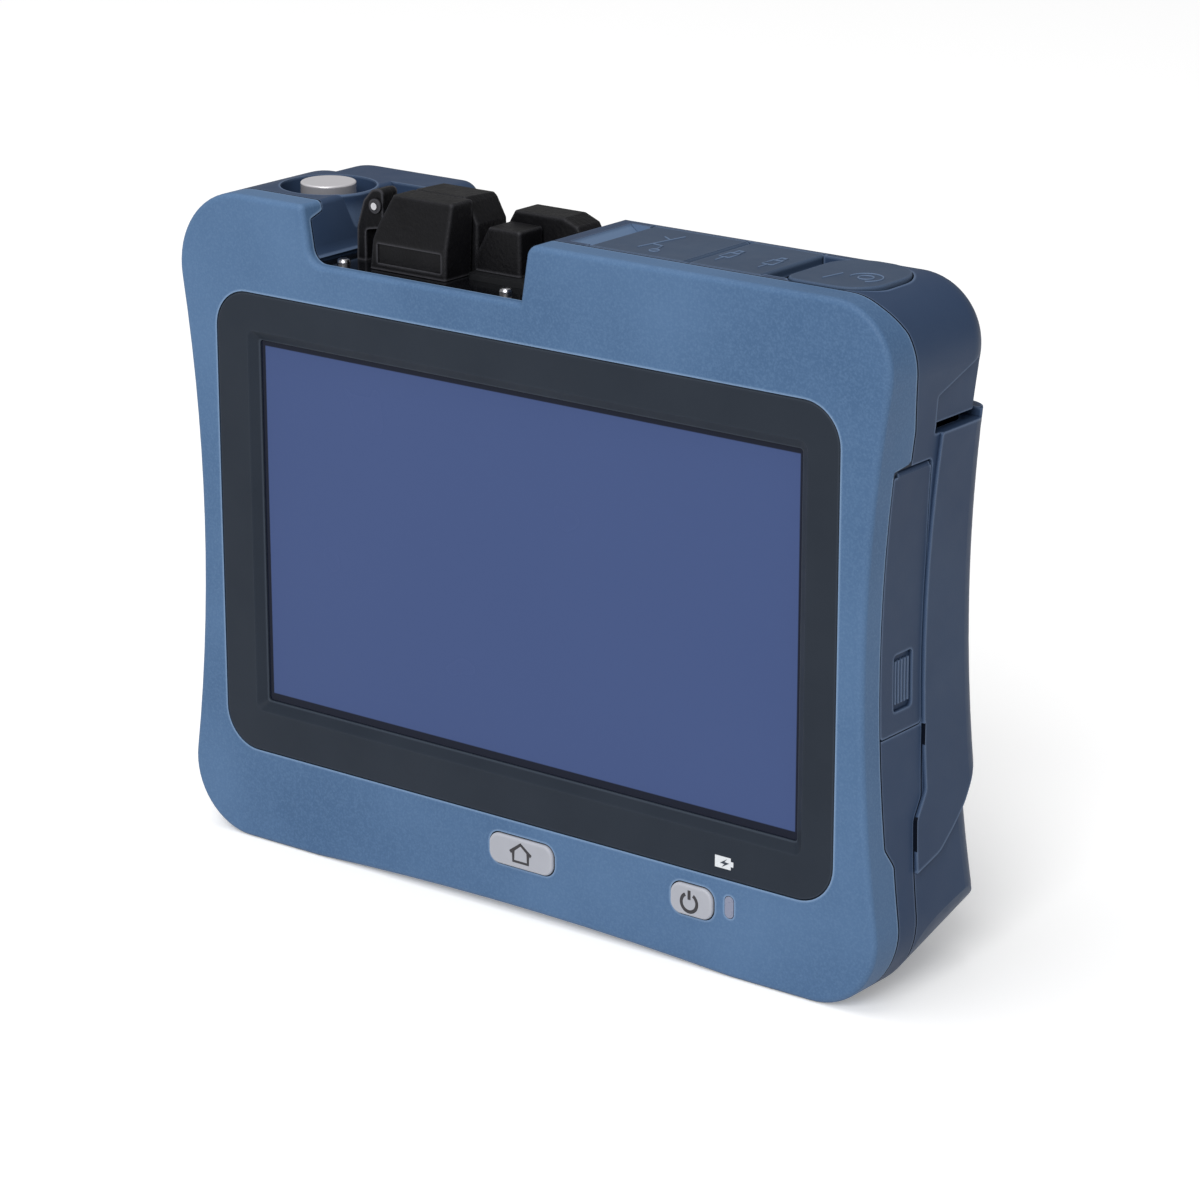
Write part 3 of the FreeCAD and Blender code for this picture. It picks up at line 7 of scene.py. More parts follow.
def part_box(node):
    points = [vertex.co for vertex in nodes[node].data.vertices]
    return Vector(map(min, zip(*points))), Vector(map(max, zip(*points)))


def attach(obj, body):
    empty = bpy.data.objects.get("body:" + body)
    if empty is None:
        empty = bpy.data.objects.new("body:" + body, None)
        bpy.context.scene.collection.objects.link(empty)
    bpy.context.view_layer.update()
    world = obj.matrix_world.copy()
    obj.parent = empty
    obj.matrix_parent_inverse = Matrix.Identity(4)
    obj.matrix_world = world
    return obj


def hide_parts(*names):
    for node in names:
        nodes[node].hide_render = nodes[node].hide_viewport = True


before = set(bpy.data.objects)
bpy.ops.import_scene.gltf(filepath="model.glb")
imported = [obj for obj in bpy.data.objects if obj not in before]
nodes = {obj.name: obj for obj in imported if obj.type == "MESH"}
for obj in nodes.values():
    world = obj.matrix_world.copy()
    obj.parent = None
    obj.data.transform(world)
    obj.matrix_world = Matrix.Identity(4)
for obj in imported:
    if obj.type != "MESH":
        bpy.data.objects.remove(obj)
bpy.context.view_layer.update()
mm = 0.001

# ------------------------------------------------------------------ camera
# The tester is seen from its right and a little above, through a long lens, standing
# upright on a bench.

EYE = Vector((0.5538, -0.7218, 0.3612))
AHEAD = Vector((-0.5798, 0.7549, -0.3065)).normalized()
LEVEL = Vector((0.7931, 0.6091, 0.0)).normalized()      # along the width of the view
upward = LEVEL.cross(AHEAD).normalized()
right = AHEAD.cross(upward).normalized()
turn = Matrix((right, upward, -AHEAD)).transposed().to_4x4()
lens = bpy.data.cameras.new("camera")
lens.sensor_width = 36.0
lens.lens = 123.1
camera = bpy.data.objects.new("camera", lens)
camera.matrix_world = Matrix.Translation(EYE) @ turn
bpy.context.scene.collection.objects.link(camera)
bpy.context.scene.camera = camera
bpy.context.scene.view_settings.view_transform = "Standard"

# ------------------------------------------------------------------ front shell
# Light steel-blue shell, injection moulded in PC/ABS with a fine spark-eroded grain. It
# is screwed to the middle frame and carries the bezel, the keys and the lamp lens.

CASE_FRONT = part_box("front_shell")[0][1] / mm
# Height and depth of the line where the front shell ends, from the foot to the top.
FRONT_SEAM = [(-5, 7.6), (7.6, 8.4), (17, 9.3), (32.5, 9.8), (37, 6.8), (122.2, 6.8),
              (122.4, 13.0), (130, 13.0), (143, 10.2), (152, 9.2), (157.5, 6.8), (162, 6.8)]


class Value:
    """A number that changes over a surface; sums and products of Values add Math nodes."""

    def __init__(self, finish, socket):
        self.finish, self.socket = finish, socket

    def _join(self, operation, first, second=None):
        node = self.finish.node("ShaderNodeMath", dict(operation=operation))
        for place, item in enumerate((first, second)):
            if isinstance(item, Value):
                self.finish.link(item.socket, node.inputs[place])
            elif item is not None:
                node.inputs[place].default_value = item
        return Value(self.finish, node.outputs[0])

    def __add__(self, other):
        return self._join("ADD", self, other)

    def __radd__(self, other):
        return self._join("ADD", other, self)

    def __sub__(self, other):
        return self._join("SUBTRACT", self, other)

    def __rsub__(self, other):
        return self._join("SUBTRACT", other, self)

    def __mul__(self, other):
        return self._join("MULTIPLY", self, other)

    def __rmul__(self, other):
        return self._join("MULTIPLY", other, self)

    def __truediv__(self, other):
        return self._join("DIVIDE", self, other)

    def __gt__(self, other):
        return self._join("GREATER_THAN", self, other)

    def __lt__(self, other):
        return self._join("LESS_THAN", self, other)

    def size(self):
        return self._join("ABSOLUTE", self)

    def least(self, other):
        return self._join("MINIMUM", self, other)

    def most(self, other):
        return self._join("MAXIMUM", self, other)

    def ramp(self, low, high):
        """0 below low, 1 above high, smooth between."""
        step = self.finish.node("ShaderNodeMapRange", dict(interpolation_type="SMOOTHSTEP"),
                                Value=self, **{"From Min": low, "From Max": high})
        return Value(self.finish, step.outputs[0])


class Finish:
    """A material with one Principled shader, whose patterns follow the piece in millimetres.

    A uniform value is given by its socket's name, with _ for each space.
    """

    def __init__(self, name, **uniform):
        self.material = bpy.data.materials.new(name)
        self.material.use_nodes = True
        self.tree = self.material.node_tree
        self.shader = self.tree.nodes["Principled BSDF"]
        self.bumps = None
        for socket, value in uniform.items():
            self.put(socket.replace("_", " "), value)

    def link(self, start, end):
        self.tree.links.new(start, end)

    def feed(self, socket, value):
        """Give a socket a Value, another node's output, a colour or a plain number."""
        if isinstance(value, Value):
            self.link(value.socket, socket)
        elif isinstance(value, bpy.types.NodeSocket):
            self.link(value, socket)
        elif isinstance(value, tuple):
            socket.default_value = (*value, 1)
        else:
            socket.default_value = value

    def node(self, kind, settings=None, **inputs):
        made = self.tree.nodes.new(kind)
        for key, value in (settings or {}).items():
            setattr(made, key, value)
        for key, value in inputs.items():
            self.feed(made.inputs[key], value)
        return made

    def put(self, socket, value):
        self.feed(self.shader.inputs[socket], value)

    def mix(self, amount, first, second):
        """Colour between first, where amount is 0, and second, where it is 1."""
        made = self.node("ShaderNodeMix", dict(data_type="RGBA"))
        sockets = {s.identifier: s for s in made.inputs}
        for name, value in (("Factor_Float", amount), ("A_Color", first), ("B_Color", second)):
            self.feed(sockets[name], value)
        return [s for s in made.outputs if s.identifier == "Result_Color"][0]

    def place(self):
        """Object coordinates in millimetres."""
        where = self.node("ShaderNodeTexCoord")
        scaled = self.node("ShaderNodeVectorMath", dict(operation="SCALE"),
                           Vector=where.outputs["Object"], Scale=1 / mm)
        return scaled.outputs[0]

    def along(self, axis):
        """Coordinate along X, Y or Z, in millimetres."""
        parts = self.node("ShaderNodeSeparateXYZ", Vector=self.place())
        return Value(self, parts.outputs[axis])

    def noise(self, grain, detail, stretch=(1, 1, 1)):
        """Cloudy value around 0.5 whose lumps are about grain millimetres across."""
        scaled = self.node("ShaderNodeVectorMath", dict(operation="MULTIPLY"), Vector=self.place())
        scaled.inputs[1].default_value = [s / grain for s in stretch]
        cloud = self.node("ShaderNodeTexNoise", Vector=scaled.outputs[0], Scale=1.0, Detail=detail)
        return Value(self, cloud.outputs["Fac"])

    def behind(self, line):
        """How far a point lies behind a line that runs up the side, in millimetres.

        The line is a list of heights and depths from the front face of the case.
        """
        below, tall, deep = 20.0, 200.0, 50.0           # the curve runs from 0 to 1 both ways
        bent = self.node("ShaderNodeFloatCurve", Value=(self.along("Z") + below) / tall)
        run = bent.mapping.curves[0]
        spots = [((height + below) / tall, depth / deep) for height, depth in line]
        while len(run.points) < len(spots):
            run.points.new(0.5, 0.5)
        for knot, spot in zip(run.points, spots):
            knot.location = spot
            knot.handle_type = "VECTOR"
        bent.mapping.update()
        return self.along("Y") - CASE_FRONT - Value(self, bent.outputs[0]) * deep

    def edge_highlight(self, reach=0.7):
        """1 along outward edges, within about reach millimetres, and 0 on broad faces: where a
        highlight is painted paler.
        """
        probe = self.node("ShaderNodeAmbientOcclusion",
                          dict(samples=6, inside=True, only_local=True), Distance=reach * mm)
        return (1.0 - Value(self, probe.outputs["AO"])).ramp(0.06, 0.34)

    def gap_shade(self, reach=0.7):
        """1 down in gaps and inner corners, within about reach millimetres: where shade is painted
        darker.
        """
        probe = self.node("ShaderNodeAmbientOcclusion", dict(samples=6), Distance=reach * mm)
        return (1.0 - Value(self, probe.outputs["AO"])).ramp(0.3, 0.75)

    def paint_highlight_and_shade(self, colour, edge, gap_shade_colour, highlight_share=0.55, seam=None):
        """Broad colour with painted highlights along outward edges and painted shade in gaps; seam
        is 1 on a joint's line, where shade is painted too.
        """
        highlighted = self.mix(self.edge_highlight() * highlight_share, colour, edge)
        dark = self.gap_shade() * 0.85
        self.put("Base Color", self.mix(dark if seam is None else dark.most(seam), highlighted, gap_shade_colour))

    def bump(self, height, depth):
        """Relief of the given depth in millimetres, on top of any earlier relief."""
        made = self.node("ShaderNodeBump", Height=height, Distance=depth * mm, Strength=1.0)
        if self.bumps is not None:
            self.link(self.bumps, made.inputs["Normal"])
        self.bumps = made.outputs["Normal"]
        self.link(self.bumps, self.shader.inputs["Normal"])

    def on(self, *pieces):
        """Dress CAD nodes, given by name, or objects."""
        for piece in pieces:
            piece = nodes[piece] if isinstance(piece, str) else piece
            piece.data.materials.clear()
            piece.data.materials.append(self.material)


def shade(r, g, b):
    """Linear colour from a colour as it is seen on a screen."""
    return tuple(((c / 255 + 0.055) / 1.055) ** 2.4 if c > 10 else c / 3295 for c in (r, g, b))


blue = Finish("front_shell_blue", Specular_IOR_Level=0.15)
broad = blue.mix((blue.noise(48, 3) - 0.35) * 2.2, shade(71, 101, 137), shade(89, 120, 157))
speckled = blue.mix((blue.noise(0.5, 2) - 0.42) * 1.4, broad, shade(99, 129, 164))
# Outward edges are painted paler as highlights, and gaps and the seam to the rear shell are
# painted shaded.
blue.paint_highlight_and_shade(speckled, edge=shade(142, 169, 202), gap_shade_colour=shade(20, 32, 50), highlight_share=0.62,
          seam=blue.behind(FRONT_SEAM) > -0.12)
blue.put("Roughness", 0.42 + 0.14 * blue.noise(6, 2))
blue.bump(blue.noise(0.42, 2), depth=0.03)
blue.bump(blue.noise(14, 1), depth=0.03)
blue.on("front_shell")

# ------------------------------------------------------------------ screen bezel
# Charcoal frame pressed into the front shell, semi-matt, with a sloped lip that leads
# down to the glass. A small white charging sign is printed on its lower right.

charcoal = Finish("bezel_charcoal", Specular_IOR_Level=0.12)
# Painted highlights along its edges and painted shade in its gaps.
charcoal.paint_highlight_and_shade(charcoal.mix(charcoal.noise(18, 3), shade(34, 41, 51), shade(43, 50, 60)),
              edge=shade(74, 83, 95), gap_shade_colour=shade(10, 12, 16), highlight_share=0.45)
charcoal.put("Roughness", 0.38 + 0.16 * charcoal.noise(5, 3))
charcoal.bump(charcoal.noise(0.3, 2), depth=0.008)
charcoal.on("screen_bezel")

INK_T = 0.05                            # thickness of printed ink
CHARGE_X, CHARGE_Z = 57.1, 25.9         # lower left corner of the charging sign
BATTERY = [(0.0, 0.0), (4.3, 0.0), (4.3, 0.8), (5.0, 0.8), (5.0, 2.0), (4.3, 2.0), (4.3, 2.8),
           (0.0, 2.8)]
BOLT = [(1.4, 1.2), (3.3, 2.4), (2.6, 1.6), (3.9, 1.5), (1.9, 0.3), (2.6, 1.1)]


def linked(name, mesh, body, finish):
    """Object for a mesh that is already in its place, which rides on a body."""
    piece = bpy.data.objects.new(name, mesh)
    bpy.context.scene.collection.objects.link(piece)
    finish.on(piece)
    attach(piece, body)
    return piece


def meshed(name, work):
    """Mesh from a bmesh, which is freed."""
    mesh = bpy.data.meshes.new(name)
    work.to_mesh(mesh)
    work.free()
    return mesh


def printed(name, corners, x, y, z, finish):
    """Flat printed shape that faces the front; its corners start from (x, z)."""
    ink = bmesh.new()
    ink.faces.new([ink.verts.new(((x + a) * mm, y * mm, (z + b) * mm)) for a, b in corners])
    grown = bmesh.ops.extrude_face_region(ink, geom=ink.faces[:])
    bmesh.ops.translate(ink, vec=(0, -INK_T * mm, 0),
                        verts=[v for v in grown["geom"] if isinstance(v, bmesh.types.BMVert)])
    bmesh.ops.recalc_face_normals(ink, faces=ink.faces)
    linked(name, meshed(name, ink), "case", finish)


white_ink = Finish("white_ink", Roughness=0.55)
white_ink.put("Base Color", white_ink.mix(white_ink.noise(0.8, 2), shade(214, 219, 224),
                                          shade(236, 239, 242)))
bezel_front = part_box("screen_bezel")[0][1] / mm
printed("charge_sign", BATTERY, CHARGE_X, bezel_front, CHARGE_Z, white_ink)
printed("charge_sign_bolt", BOLT, CHARGE_X, bezel_front - INK_T, CHARGE_Z, charcoal)

# ------------------------------------------------------------------ screen
# Resistive touch sheet over the display. The lit area is a flat blue violet and a thin
# dark margin runs round it, just inside the bezel's lip.

LIT_X0, LIT_X1, LIT_Z0, LIT_Z1 = -75.5, 77.1, 37.9, 124.0

glass = Finish("touch_sheet", Specular_IOR_Level=0.1)
x, z = glass.along("X"), glass.along("Z")
inside = (x - LIT_X0).least(LIT_X1 - x).least(z - LIT_Z0).least(LIT_Z1 - z)
picture = glass.mix(glass.noise(60, 1), shade(66, 83, 127), shade(69, 86, 130))
glass.put("Base Color", glass.mix(inside.ramp(0.0, 0.25), shade(22, 27, 42), picture))
glass.put("Roughness", 0.24 + 0.05 * glass.noise(30, 2))
glass.on("touch_panel")

panel = Finish("display_back", Base_Color=shade(150, 152, 156), Metallic=0.8)
panel.put("Roughness", 0.35 + 0.2 * panel.noise(8, 2))
panel.on("display_module")

# ------------------------------------------------------------------ keys and lamp
# Two light grey silicone keys that stand in close wells, with dark printed signs, and a
# clear pressed-in lens for the lamp beside the power key.

KEY_LINE = 0.85                         # width of the lines printed on the keys
KEY_FLAT = 0.1                          # a printed line's height as a share of its width

key = Finish("key_grey", Roughness=0.45, Specular_IOR_Level=0.3)
# Painted highlights along the keys' edges and painted shade in the wells round them.
key.paint_highlight_and_shade(key.mix(key.noise(7, 2), shade(169, 171, 179), shade(178, 180, 188)),
         edge=shade(210, 212, 219), gap_shade_colour=shade(40, 46, 56), highlight_share=0.6)
key.bump(key.noise(0.3, 2), depth=0.01)
key.on("home_button", "power_button")

key_ink = Finish("key_ink", Roughness=0.5)
key_ink.put("Base Color", key_ink.mix(key_ink.noise(0.8, 2), shade(36, 34, 38),
                                      shade(50, 48, 52)))


def drawn(name, strokes, width, flat, start, across, up, finish, body):
    """Sign made of drawn lines: flattened tubes along open or closed strokes, laid on a face.

    A stroke is a list of points in millimetres from start, and a True where it closes.
    """
    line = bpy.data.curves.new(name, "CURVE")
    line.dimensions = "3D"
    line.bevel_depth = width / 2 * mm
    line.bevel_resolution = 2
    line.use_fill_caps = True
    for points, closed in strokes:
        run = line.splines.new("POLY")
        run.points.add(len(points) - 1)
        for knot, (a, b) in zip(run.points, points):
            knot.co = (a * mm, b * mm, 0, 1)
        run.use_cyclic_u = closed
    holder = bpy.data.objects.new(name + "_line", line)
    mesh = bpy.data.meshes.new_from_object(holder)
    bpy.data.objects.remove(holder)
    mesh.name = name
    mesh.transform(Matrix.Diagonal((1, 1, flat, 1)))
    out = Vector(across).cross(Vector(up))
    facing = Matrix((across, up, out)).transposed().to_4x4()
    mesh.transform(Matrix.Translation(Vector(start) * mm) @ facing)
    linked(name, mesh, body, finish)


def arc(a, b, radius, start, end, steps):
    """Points of an arc about (a, b), from start to end in degrees."""
    angles = [math.radians(start + (end - start) * i / steps) for i in range(steps + 1)]
    return [(a + radius * math.cos(t), b + radius * math.sin(t)) for t in angles]


def key_sign(name, strokes, body):
    """Sign printed on a key's front, drawn from the middle of the key."""
    low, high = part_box(body)
    start = [(low[0] + high[0]) / 2 / mm, low[1] / mm, (low[2] + high[2]) / 2 / mm]
    drawn(name, strokes, KEY_LINE, KEY_FLAT, start, (1, 0, 0), (0, 0, 1), key_ink, body)


key_sign("home_sign", [([(-2.9, 0.1), (0.15, 2.4), (3.2, 0.1)], False),
                       ([(-2.0, 0.7), (-2.0, -2.0), (2.3, -2.0), (2.3, 0.7)], False)],
         "home_button")
key_sign("power_sign", [([(-0.4, 2.5), (-0.4, 0.3)], False),
                        (arc(-0.4, -0.45, 2.15, 120, 420, 30), False)], "power_button")

lamp = Finish("lamp_lens")
# The lens is painted darker where it meets its well: painted shade in the gap.
lamp.put("Base Color", lamp.mix(lamp.gap_shade(0.4), shade(134, 139, 160), shade(60, 72, 96)))
lamp.put("Roughness", 0.2 + 0.2 * lamp.noise(2, 2))
lamp.on("status_led_lens")

# ------------------------------------------------------------------ rear shell and middle frame
# Dark slate-blue shell that makes the sides, the top and the back, with the same grain
# as the front but a duller surface. The band of the middle frame shows along the side.

# Height and depth of the line where the middle frame's band ends.
BAND_SEAM = [(-5, 15.2), (17, 16.2), (30, 17.2), (40.5, 18.6), (45, 22.0), (61.4, 23.2),
             (100, 23.2), (122.3, 21.4)]
# The seams' dark lines are painted shade in the grooves between the shells.
GROOVE_FRONT, GROOVE_BACK = -0.2, 0.36  # how far a seam's dark line reaches either way
DOOR_LOW, DOOR_TOP = 61.4, 122.0        # heights of the door opening
BAY_OUT = 70.0                          # the connector bay lies within this of the middle
TOP_EDGE = 159.0                        # what is higher belongs to the top face
LINER_DEPTH = 2.75                      # front edge of the bay's liner
LINER_TOP = 155.0                       # its upper edge, which slopes 0.3 towards the back
SLOPE = 0.3
SCOOP_X0, SCOOP_X1 = 7.5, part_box("ethernet_flap")[0][0] / mm - 0.2
SCOOP_Z0, SCOOP_Z1 = 156.5, 159.42


def slate(name, low, high, seam=None, highlighted=None):
    """Grained slate-blue plastic between two colours, with painted edge highlights and painted gap
    shade.

    seam gives the lines of its joints, where shade is painted, and highlighted the places where a
    highlight is painted paler.
    """
    made = Finish(name, Specular_IOR_Level=0.12)
    plain = made.mix((made.noise(26, 3) - 0.35) * 1.6, low, high)
    # Where highlighted is given, those places are painted paler: a painted highlight.
    if highlighted:
        plain = made.mix(highlighted(made) * 0.8, plain, shade(112, 136, 168))
    made.paint_highlight_and_shade(plain, edge=shade(108, 128, 158), gap_shade_colour=shade(12, 18, 30), seam=seam and seam(made))
    made.put("Roughness", 0.38 + 0.14 * made.noise(5, 2))
    made.bump(made.noise(0.42, 2), depth=0.018)
    made.bump(made.noise(12, 1), depth=0.04)
    return made


def rear_joints(made):
    """Painted shade lines behind the front shell and the band, and round the liner of the
    connector bay.
    """
    front, band = made.behind(FRONT_SEAM), made.behind(BAND_SEAM)
    height, depth = made.along("Z"), made.along("Y") - CASE_FRONT
    outside = (made.along("X").size() > BAY_OUT).most(height > TOP_EDGE)
    side = (front < GROOVE_BACK) * (front > GROOVE_FRONT) * (height > DOOR_TOP) * outside
    foot = (band < GROOVE_BACK) * (band > GROOVE_FRONT) * (height < DOOR_LOW)
    brim = (height - depth * SLOPE > LINER_TOP) * (depth < FRONT_SEAM[-1][1])
    return side.most(foot).most((depth < LINER_DEPTH).most(brim))


def frame_joints(made):
    """Painted shade lines along both edges of the middle frame's band."""
    front, band = made.behind(FRONT_SEAM), made.behind(BAND_SEAM)
    return (front < GROOVE_BACK).most(band > -0.12)


def scoop(made):
    """Finger scoop left of the flaps, whose far wall gets a painted highlight."""
    x, z = made.along("X"), made.along("Z")
    return (x > SCOOP_X0) * (x < SCOOP_X1) * (z < SCOOP_Z1) * (z > SCOOP_Z0)


shell_slate = shade(50, 67, 94), shade(58, 76, 103)
slate("rear_shell_slate", *shell_slate, rear_joints, scoop).on("rear_shell")
slate("stand_slate", *shell_slate).on("kickstand")
slate("frame_slate", shade(48, 66, 94), shade(56, 74, 102), frame_joints).on("middle_frame")
slate("door_slate", shade(49, 65, 91), shade(56, 73, 99)).on("side_door")

# ------------------------------------------------------------------ top flaps
# Two thin flaps and an oval plug close the sockets on top. Small raised signs moulded on
# them say what is below: a network, two data plugs, and a round power plug.

MOULD_LINE = 0.42                       # width of the raised lines moulded on the flaps
TONGUE_W, PLUG_W, PLUG_L = 1.5, 2.6, 4.2
TONGUE_L, LEAD_L = 2.4, 3.4

flap_slate = slate("flap_slate", shade(58, 74, 97), shade(67, 84, 107))
flap_slate.on("ethernet_flap", "usb_flap", "power_cover")
# The raised signs are painted paler than the flaps: a painted highlight on their relief.
sign_slate_painted_highlight = slate("sign_slate_painted_highlight", shade(86, 104, 130), shade(98, 117, 143))


def flap_sign(name, strokes, body):
    """Sign moulded on top of a flap, drawn from the flap's left front corner."""
    low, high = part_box(body)
    start = [low[0] / mm, low[1] / mm, high[2] / mm]
    drawn(name, strokes, MOULD_LINE, 1.0, start, (1, 0, 0), (0, 1, 0), sign_slate_painted_highlight, body)


def plug_sign(a, b):
    """Plug with its tongue and its lead, along the depth of the case."""
    half, end, tip = PLUG_W / 2, b + PLUG_L, b + PLUG_L + TONGUE_L
    shell = [(a - half, b), (a + half, b), (a + half, end), (a - half, end)]
    thin = TONGUE_W / 2
    tongue = [(a - thin, end), (a - thin, tip), (a + thin, tip), (a + thin, end)]
    return [(shell, True), (tongue, False), ([(a, b), (a, b - LEAD_L)], False)]


flap_sign("network_sign", [([(9.6, 5.8), (12.2, 19.8)], False),
                           ([(10.4, 10.2), (13.6, 9.6), (14.3, 6.4)], False),
                           (arc(14.6, 5.2, 1.1, 0, 342, 19), True),
                           ([(11.4, 15.4), (8.6, 17.2)], False)], "ethernet_flap")
flap_sign("data_signs", plug_sign(3.75, 9.3) + plug_sign(15.15, 9.3), "usb_flap")
flap_sign("power_plug_sign", [(arc(14.8, 10.2, 3.7, -60, 190, 26), False),
                              (arc(14.8, 10.2, 1.7, 0, 345, 23), True),
                              ([(7.4, 4.6), (8.5, 10.7)], False)], "power_cover")

# ------------------------------------------------------------------ connector bay
# Polished black plate that carries the fibre ports, held by two bright pan-head screws
# with a cross recess. The ports are nickel-plated adapters.

plate = Finish("bay_plate_black", Base_Color=shade(14, 15, 18))
plate.put("Roughness", 0.05 + 0.1 * plate.noise(9, 3))
plate.on("connector_plate")

ferrule = Finish("port_nickel", Base_Color=shade(165, 166, 170), Metallic=0.9)
ferrule.put("Roughness", 0.25 + 0.2 * ferrule.noise(2, 2))
ferrule.on("otdr_port", "filtered_port", "source_port")
flange = Finish("port_flange_black", Base_Color=shade(24, 25, 28))
flange.put("Roughness", 0.32 + 0.2 * flange.noise(2, 2))
flange.on("fault_locator_port")

steel = Finish("bright_steel", Base_Color=shade(196, 196, 200), Metallic=1.0)
steel.put("Roughness", 0.14 + 0.2 * steel.noise(1.2, 2))
steel.on("cap_bracket_pin", "kickstand_pin")


def profile(work, outline):
    """Points and edges of an outline of radii and heights, ready to be spun."""
    knots = [work.verts.new((a * mm, 0, b * mm)) for a, b in outline]
    return knots, [work.edges.new(pair) for pair in zip(knots, knots[1:])]


def screws(name, node, spots, out, head_r, head_h, shank_r, shank_l, recess):
    """Screws with a crowned head and a cross recess; a spot is where a head meets its seat."""
    work = bmesh.new()
    knots, runs = profile(work, [
        (0, -shank_l), (shank_r, -shank_l), (shank_r, 0), (head_r, 0), (head_r, head_h * 0.45),
        (head_r * 0.86, head_h * 0.85), (head_r * 0.6, head_h), (0, head_h)])
    bmesh.ops.spin(work, geom=knots + runs, cent=(0, 0, 0), axis=(0, 0, 1), angle=math.tau,
                   steps=40, use_merge=True)
    bmesh.ops.remove_doubles(work, verts=work.verts, dist=1e-6)
    bmesh.ops.recalc_face_normals(work, faces=work.faces)
    blank = bpy.data.objects.new(name + "_blank", meshed(name, work))
    bpy.context.scene.collection.objects.link(blank)
    arms = bmesh.new()
    thin = 0.24                         # width of an arm as a share of the recess
    for wide, deep in ((1.0, thin), (thin, 1.0)):
        arm = bmesh.ops.create_cube(arms, size=2 * recess * mm)["verts"]
        bmesh.ops.scale(arms, vec=(wide, deep, head_h * 1.2 / (2 * recess)), verts=arm)
        bmesh.ops.translate(arms, vec=(0, 0, head_h * mm), verts=arm)
    tool = bpy.data.objects.new(name + "_cross", meshed(name + "_cross", arms))
    bpy.context.scene.collection.objects.link(tool)
    cut = blank.modifiers.new("cross", "BOOLEAN")
    cut.operation, cut.object, cut.solver, cut.use_self = "DIFFERENCE", tool, "EXACT", True
    ready = blank.evaluated_get(bpy.context.evaluated_depsgraph_get())
    one = bpy.data.meshes.new_from_object(ready)
    bpy.data.objects.remove(blank)
    bpy.data.objects.remove(tool)
    aim = Vector(out).to_track_quat("Z", "Y").to_matrix().to_4x4()
    every = bmesh.new()
    for spot in spots:
        placed = one.copy()
        placed.transform(Matrix.Translation(Vector(spot) * mm) @ aim)
        every.from_mesh(placed)
        bpy.data.meshes.remove(placed)
    piece = linked(name, meshed(name, every), "case", steel)
    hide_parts(node)


plate_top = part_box("connector_plate")[1][2] / mm
screws("plate_screw_pair", "plate_screws", [(-53.7, -27.4, plate_top), (-6.3, -27.0, plate_top)],
       out=(0, 0, 1), head_r=1.6, head_h=1.3, shank_r=0.9, shank_l=4.6, recess=0.85)

# ------------------------------------------------------------------ caps
# Moulded rubber dust caps, rough and nearly black, beside the small post that they are
# tied to. The large one has a raised frame round the shallow panel on its face.

rubber = Finish("cap_rubber", Specular_IOR_Level=0.15)
# Painted highlights along the caps' edges and painted shade in their gaps.
rubber.paint_highlight_and_shade(rubber.mix(rubber.noise(5, 3), shade(12, 12, 14), shade(23, 23, 26)),
            edge=shade(92, 92, 98), gap_shade_colour=shade(5, 5, 6), highlight_share=0.5)
rubber.put("Roughness", 0.4 + 0.2 * rubber.noise(2.5, 3))
rubber.bump(rubber.noise(0.9, 3), depth=0.2)
rubber.on("otdr_cap", "filtered_cap", "fault_locator_cap", "source_cap", "cap_bracket")

# ------------------------------------------------------------------ detector
# Turned metal dust cap on the power-meter detector, with a polished rim and a paler spun
# top, and the shell's thin wall that rises round its well beside the connector bay.

turned = Finish("turned_metal", Base_Color=shade(214, 212, 216))
cap_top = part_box("detector_cap")[1][2] / mm
top_face = turned.along("Z").ramp(cap_top - 0.5, cap_top - 0.1)
turned.put("Metallic", 0.62 - top_face * 0.24)
brushed = 0.12 * turned.noise(1.5, 2, stretch=(1, 1, 12))
turned.put("Roughness", 0.16 + top_face * 0.2 + brushed)
turned.on("detector_cap")

WELL_X, WELL_Y = -71.3, -12.2           # middle of the well
RIM_SWEEP = 72.0                        # degrees, centred on the side of the bay
RIM = [(11.26, 147.0), (11.5, 147.0), (11.7, 151.5), (12.0, 158.9), (11.7, 159.4),
       (11.26, 159.4)]                  # radii and heights
work = bmesh.new()
knots, runs = profile(work, RIM)
runs.append(work.edges.new((knots[-1], knots[0])))
bmesh.ops.rotate(work, verts=knots, cent=(0, 0, 0),
                 matrix=Matrix.Rotation(math.radians(-RIM_SWEEP / 2), 3, "Z"))
bmesh.ops.spin(work, geom=knots + runs, cent=(0, 0, 0), axis=(0, 0, 1),
               angle=math.radians(RIM_SWEEP), steps=24)
bmesh.ops.holes_fill(work, edges=work.edges, sides=0)
bmesh.ops.translate(work, vec=(WELL_X * mm, WELL_Y * mm, 0), verts=work.verts)
bmesh.ops.recalc_face_normals(work, faces=work.faces)
linked("well_rim", meshed("well_rim", work), "case",
       slate("rim_slate", shade(44, 60, 86), shade(52, 69, 95)))

# ------------------------------------------------------------------ case screws
# Four zinc-plated screws sunk in the back, which hold the two shells and the frame
# together. They have crowned heads with a cross recess and long plain shanks.

HEAD_H = 2.0
SCREW_X, SCREW_LOW_Z, SCREW_HIGH_Z = 90.0, 18.0, 141.0

seat_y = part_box("case_screws")[1][1] / mm - HEAD_H
screws("case_screw_set", "case_screws",
       [(x, seat_y, z) for x in (-SCREW_X, SCREW_X) for z in (SCREW_LOW_Z, SCREW_HIGH_Z)],
       out=(0, 1, 0), head_r=2.8, head_h=HEAD_H, shank_r=1.3, shank_l=33.7, recess=1.4)

# ------------------------------------------------------------------ inside
# Sockets, boards, chassis, optics and battery, which show only when the caps, the flaps
# or the door are open, and the stand's rubber pad.

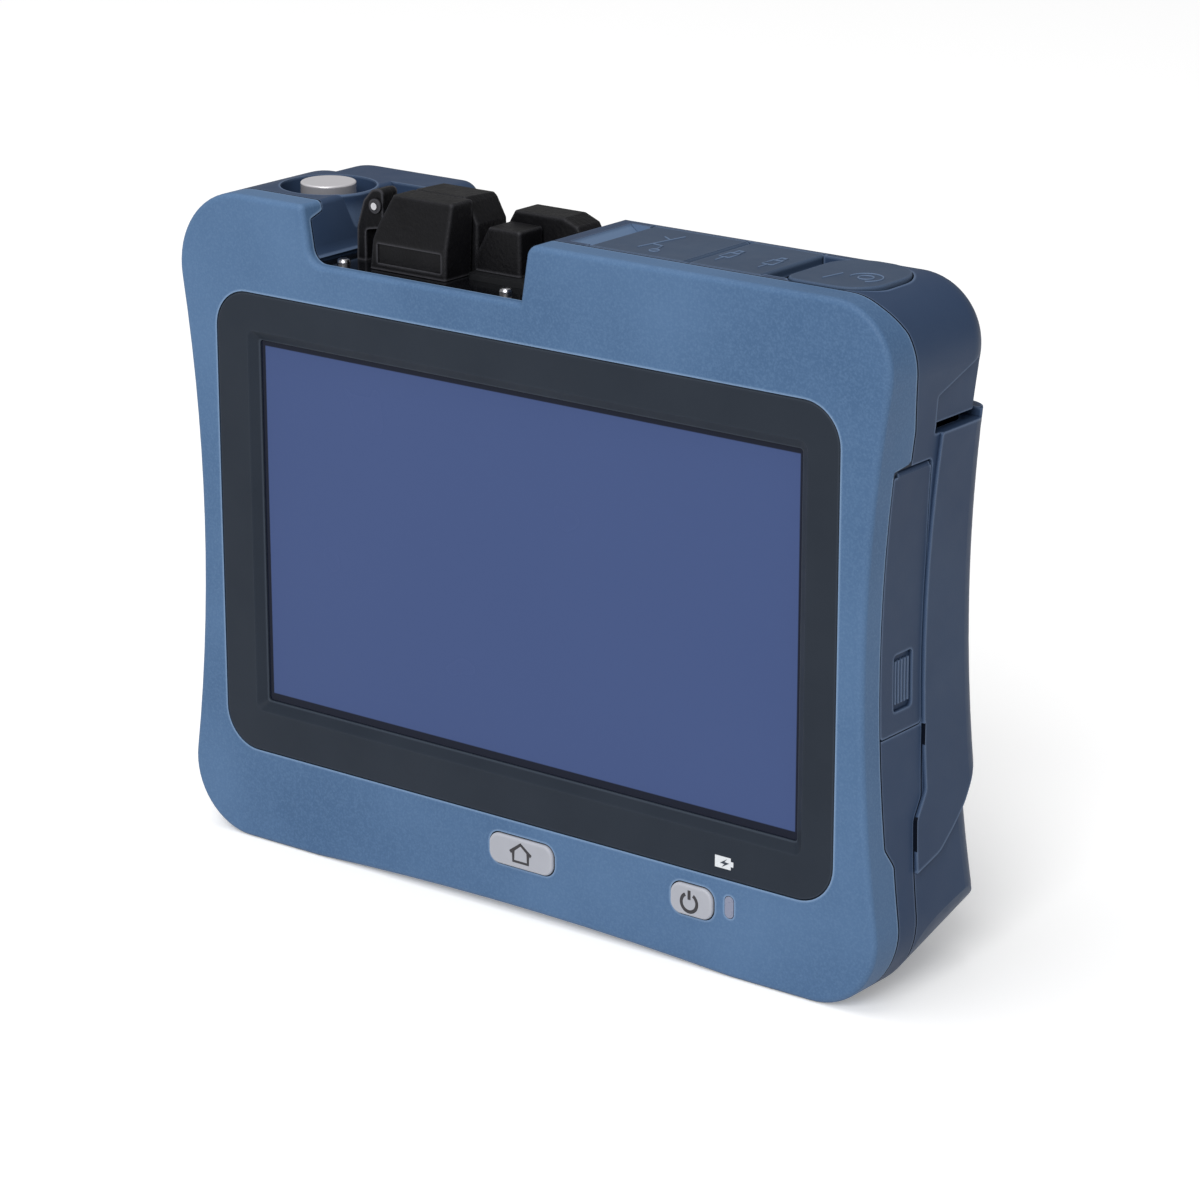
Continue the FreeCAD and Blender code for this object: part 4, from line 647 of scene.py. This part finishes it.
dark = Finish("dark_moulding", Base_Color=shade(26, 28, 32))
dark.put("Roughness", 0.45 + 0.2 * dark.noise(3, 2))
dark.on("detector_port", "battery_tray", "ethernet_jack", "usb_jack_front", "usb_jack_rear",
        "power_jack", "kickstand_pad")
board = Finish("board_green", Roughness=0.4)
board.put("Base Color", board.mix(board.noise(3, 3), shade(16, 60, 38), shade(26, 82, 52)))
board.on("keypad_board", "main_board", "port_board")
chassis = Finish("chassis_metal", Base_Color=shade(160, 162, 166), Metallic=0.9)
chassis.put("Roughness", 0.35 + 0.2 * chassis.noise(6, 2))
chassis.on("inner_chassis", "optical_module")
wrap = Finish("battery_wrap", Base_Color=shade(44, 48, 54))
wrap.put("Roughness", 0.3 + 0.2 * wrap.noise(10, 2))
wrap.on("battery_pack")

# ------------------------------------------------------------------ bench and light
# White bench with a soft shadow, a broad soft light from the right front, another above,
# and a plain world around it. What the camera and bright metal see of the bench is white.

BENCH_HALF = 3.0                        # metres

sheet = bmesh.new()
bmesh.ops.create_grid(sheet, x_segments=1, y_segments=1, size=BENCH_HALF)
bench = bpy.data.objects.new("bench", meshed("bench", sheet))
bpy.context.scene.collection.objects.link(bench)
white = Finish("bench_white", Base_Color=(0.8, 0.8, 0.8), Roughness=0.9)
pale = white.node("ShaderNodeBsdfPrincipled", **{
    "Base Color": (0.95, 0.95, 0.95), "Roughness": 0.9,
    "Emission Color": (1.0, 1.0, 1.0), "Emission Strength": 0.25})
rays = white.node("ShaderNodeLightPath").outputs
looked_at = Value(white, rays["Is Camera Ray"])
for kind in ("Is Glossy Ray", "Is Transmission Ray"):
    looked_at = looked_at.most(Value(white, rays[kind]))
both = white.node("ShaderNodeMixShader", Fac=looked_at)
white.link(white.shader.outputs[0], both.inputs[1])
white.link(pale.outputs[0], both.inputs[2])
end = [n for n in white.tree.nodes if n.type == "OUTPUT_MATERIAL"][0]
white.link(both.outputs[0], end.inputs["Surface"])
white.on(bench)

world = bpy.data.worlds.new("room")
bpy.context.scene.world = world
world.use_nodes = True
back = world.node_tree.nodes["Background"]
back.inputs["Color"].default_value = (1, 1, 1, 1)
back.inputs["Strength"].default_value = 0.35


def lamp_at(name, spot, target, width, power):
    """Square area light, in metres and watts."""
    light = bpy.data.lights.new(name, "AREA")
    light.shape = "SQUARE"
    light.size = width
    light.energy = power
    holder = bpy.data.objects.new(name, light)
    aim = (Vector(target) - Vector(spot)).to_track_quat("-Z", "Y").to_matrix().to_4x4()
    holder.matrix_world = Matrix.Translation(spot) @ aim
    bpy.context.scene.collection.objects.link(holder)


lamp_at("key_light", spot=(1.5, -3.6, 2.9), target=(0, 0, 0.08), width=2.4, power=133)
lamp_at("top_light", spot=(-0.9, -0.9, 4.0), target=(0, 0, 0.1), width=3.6, power=68)
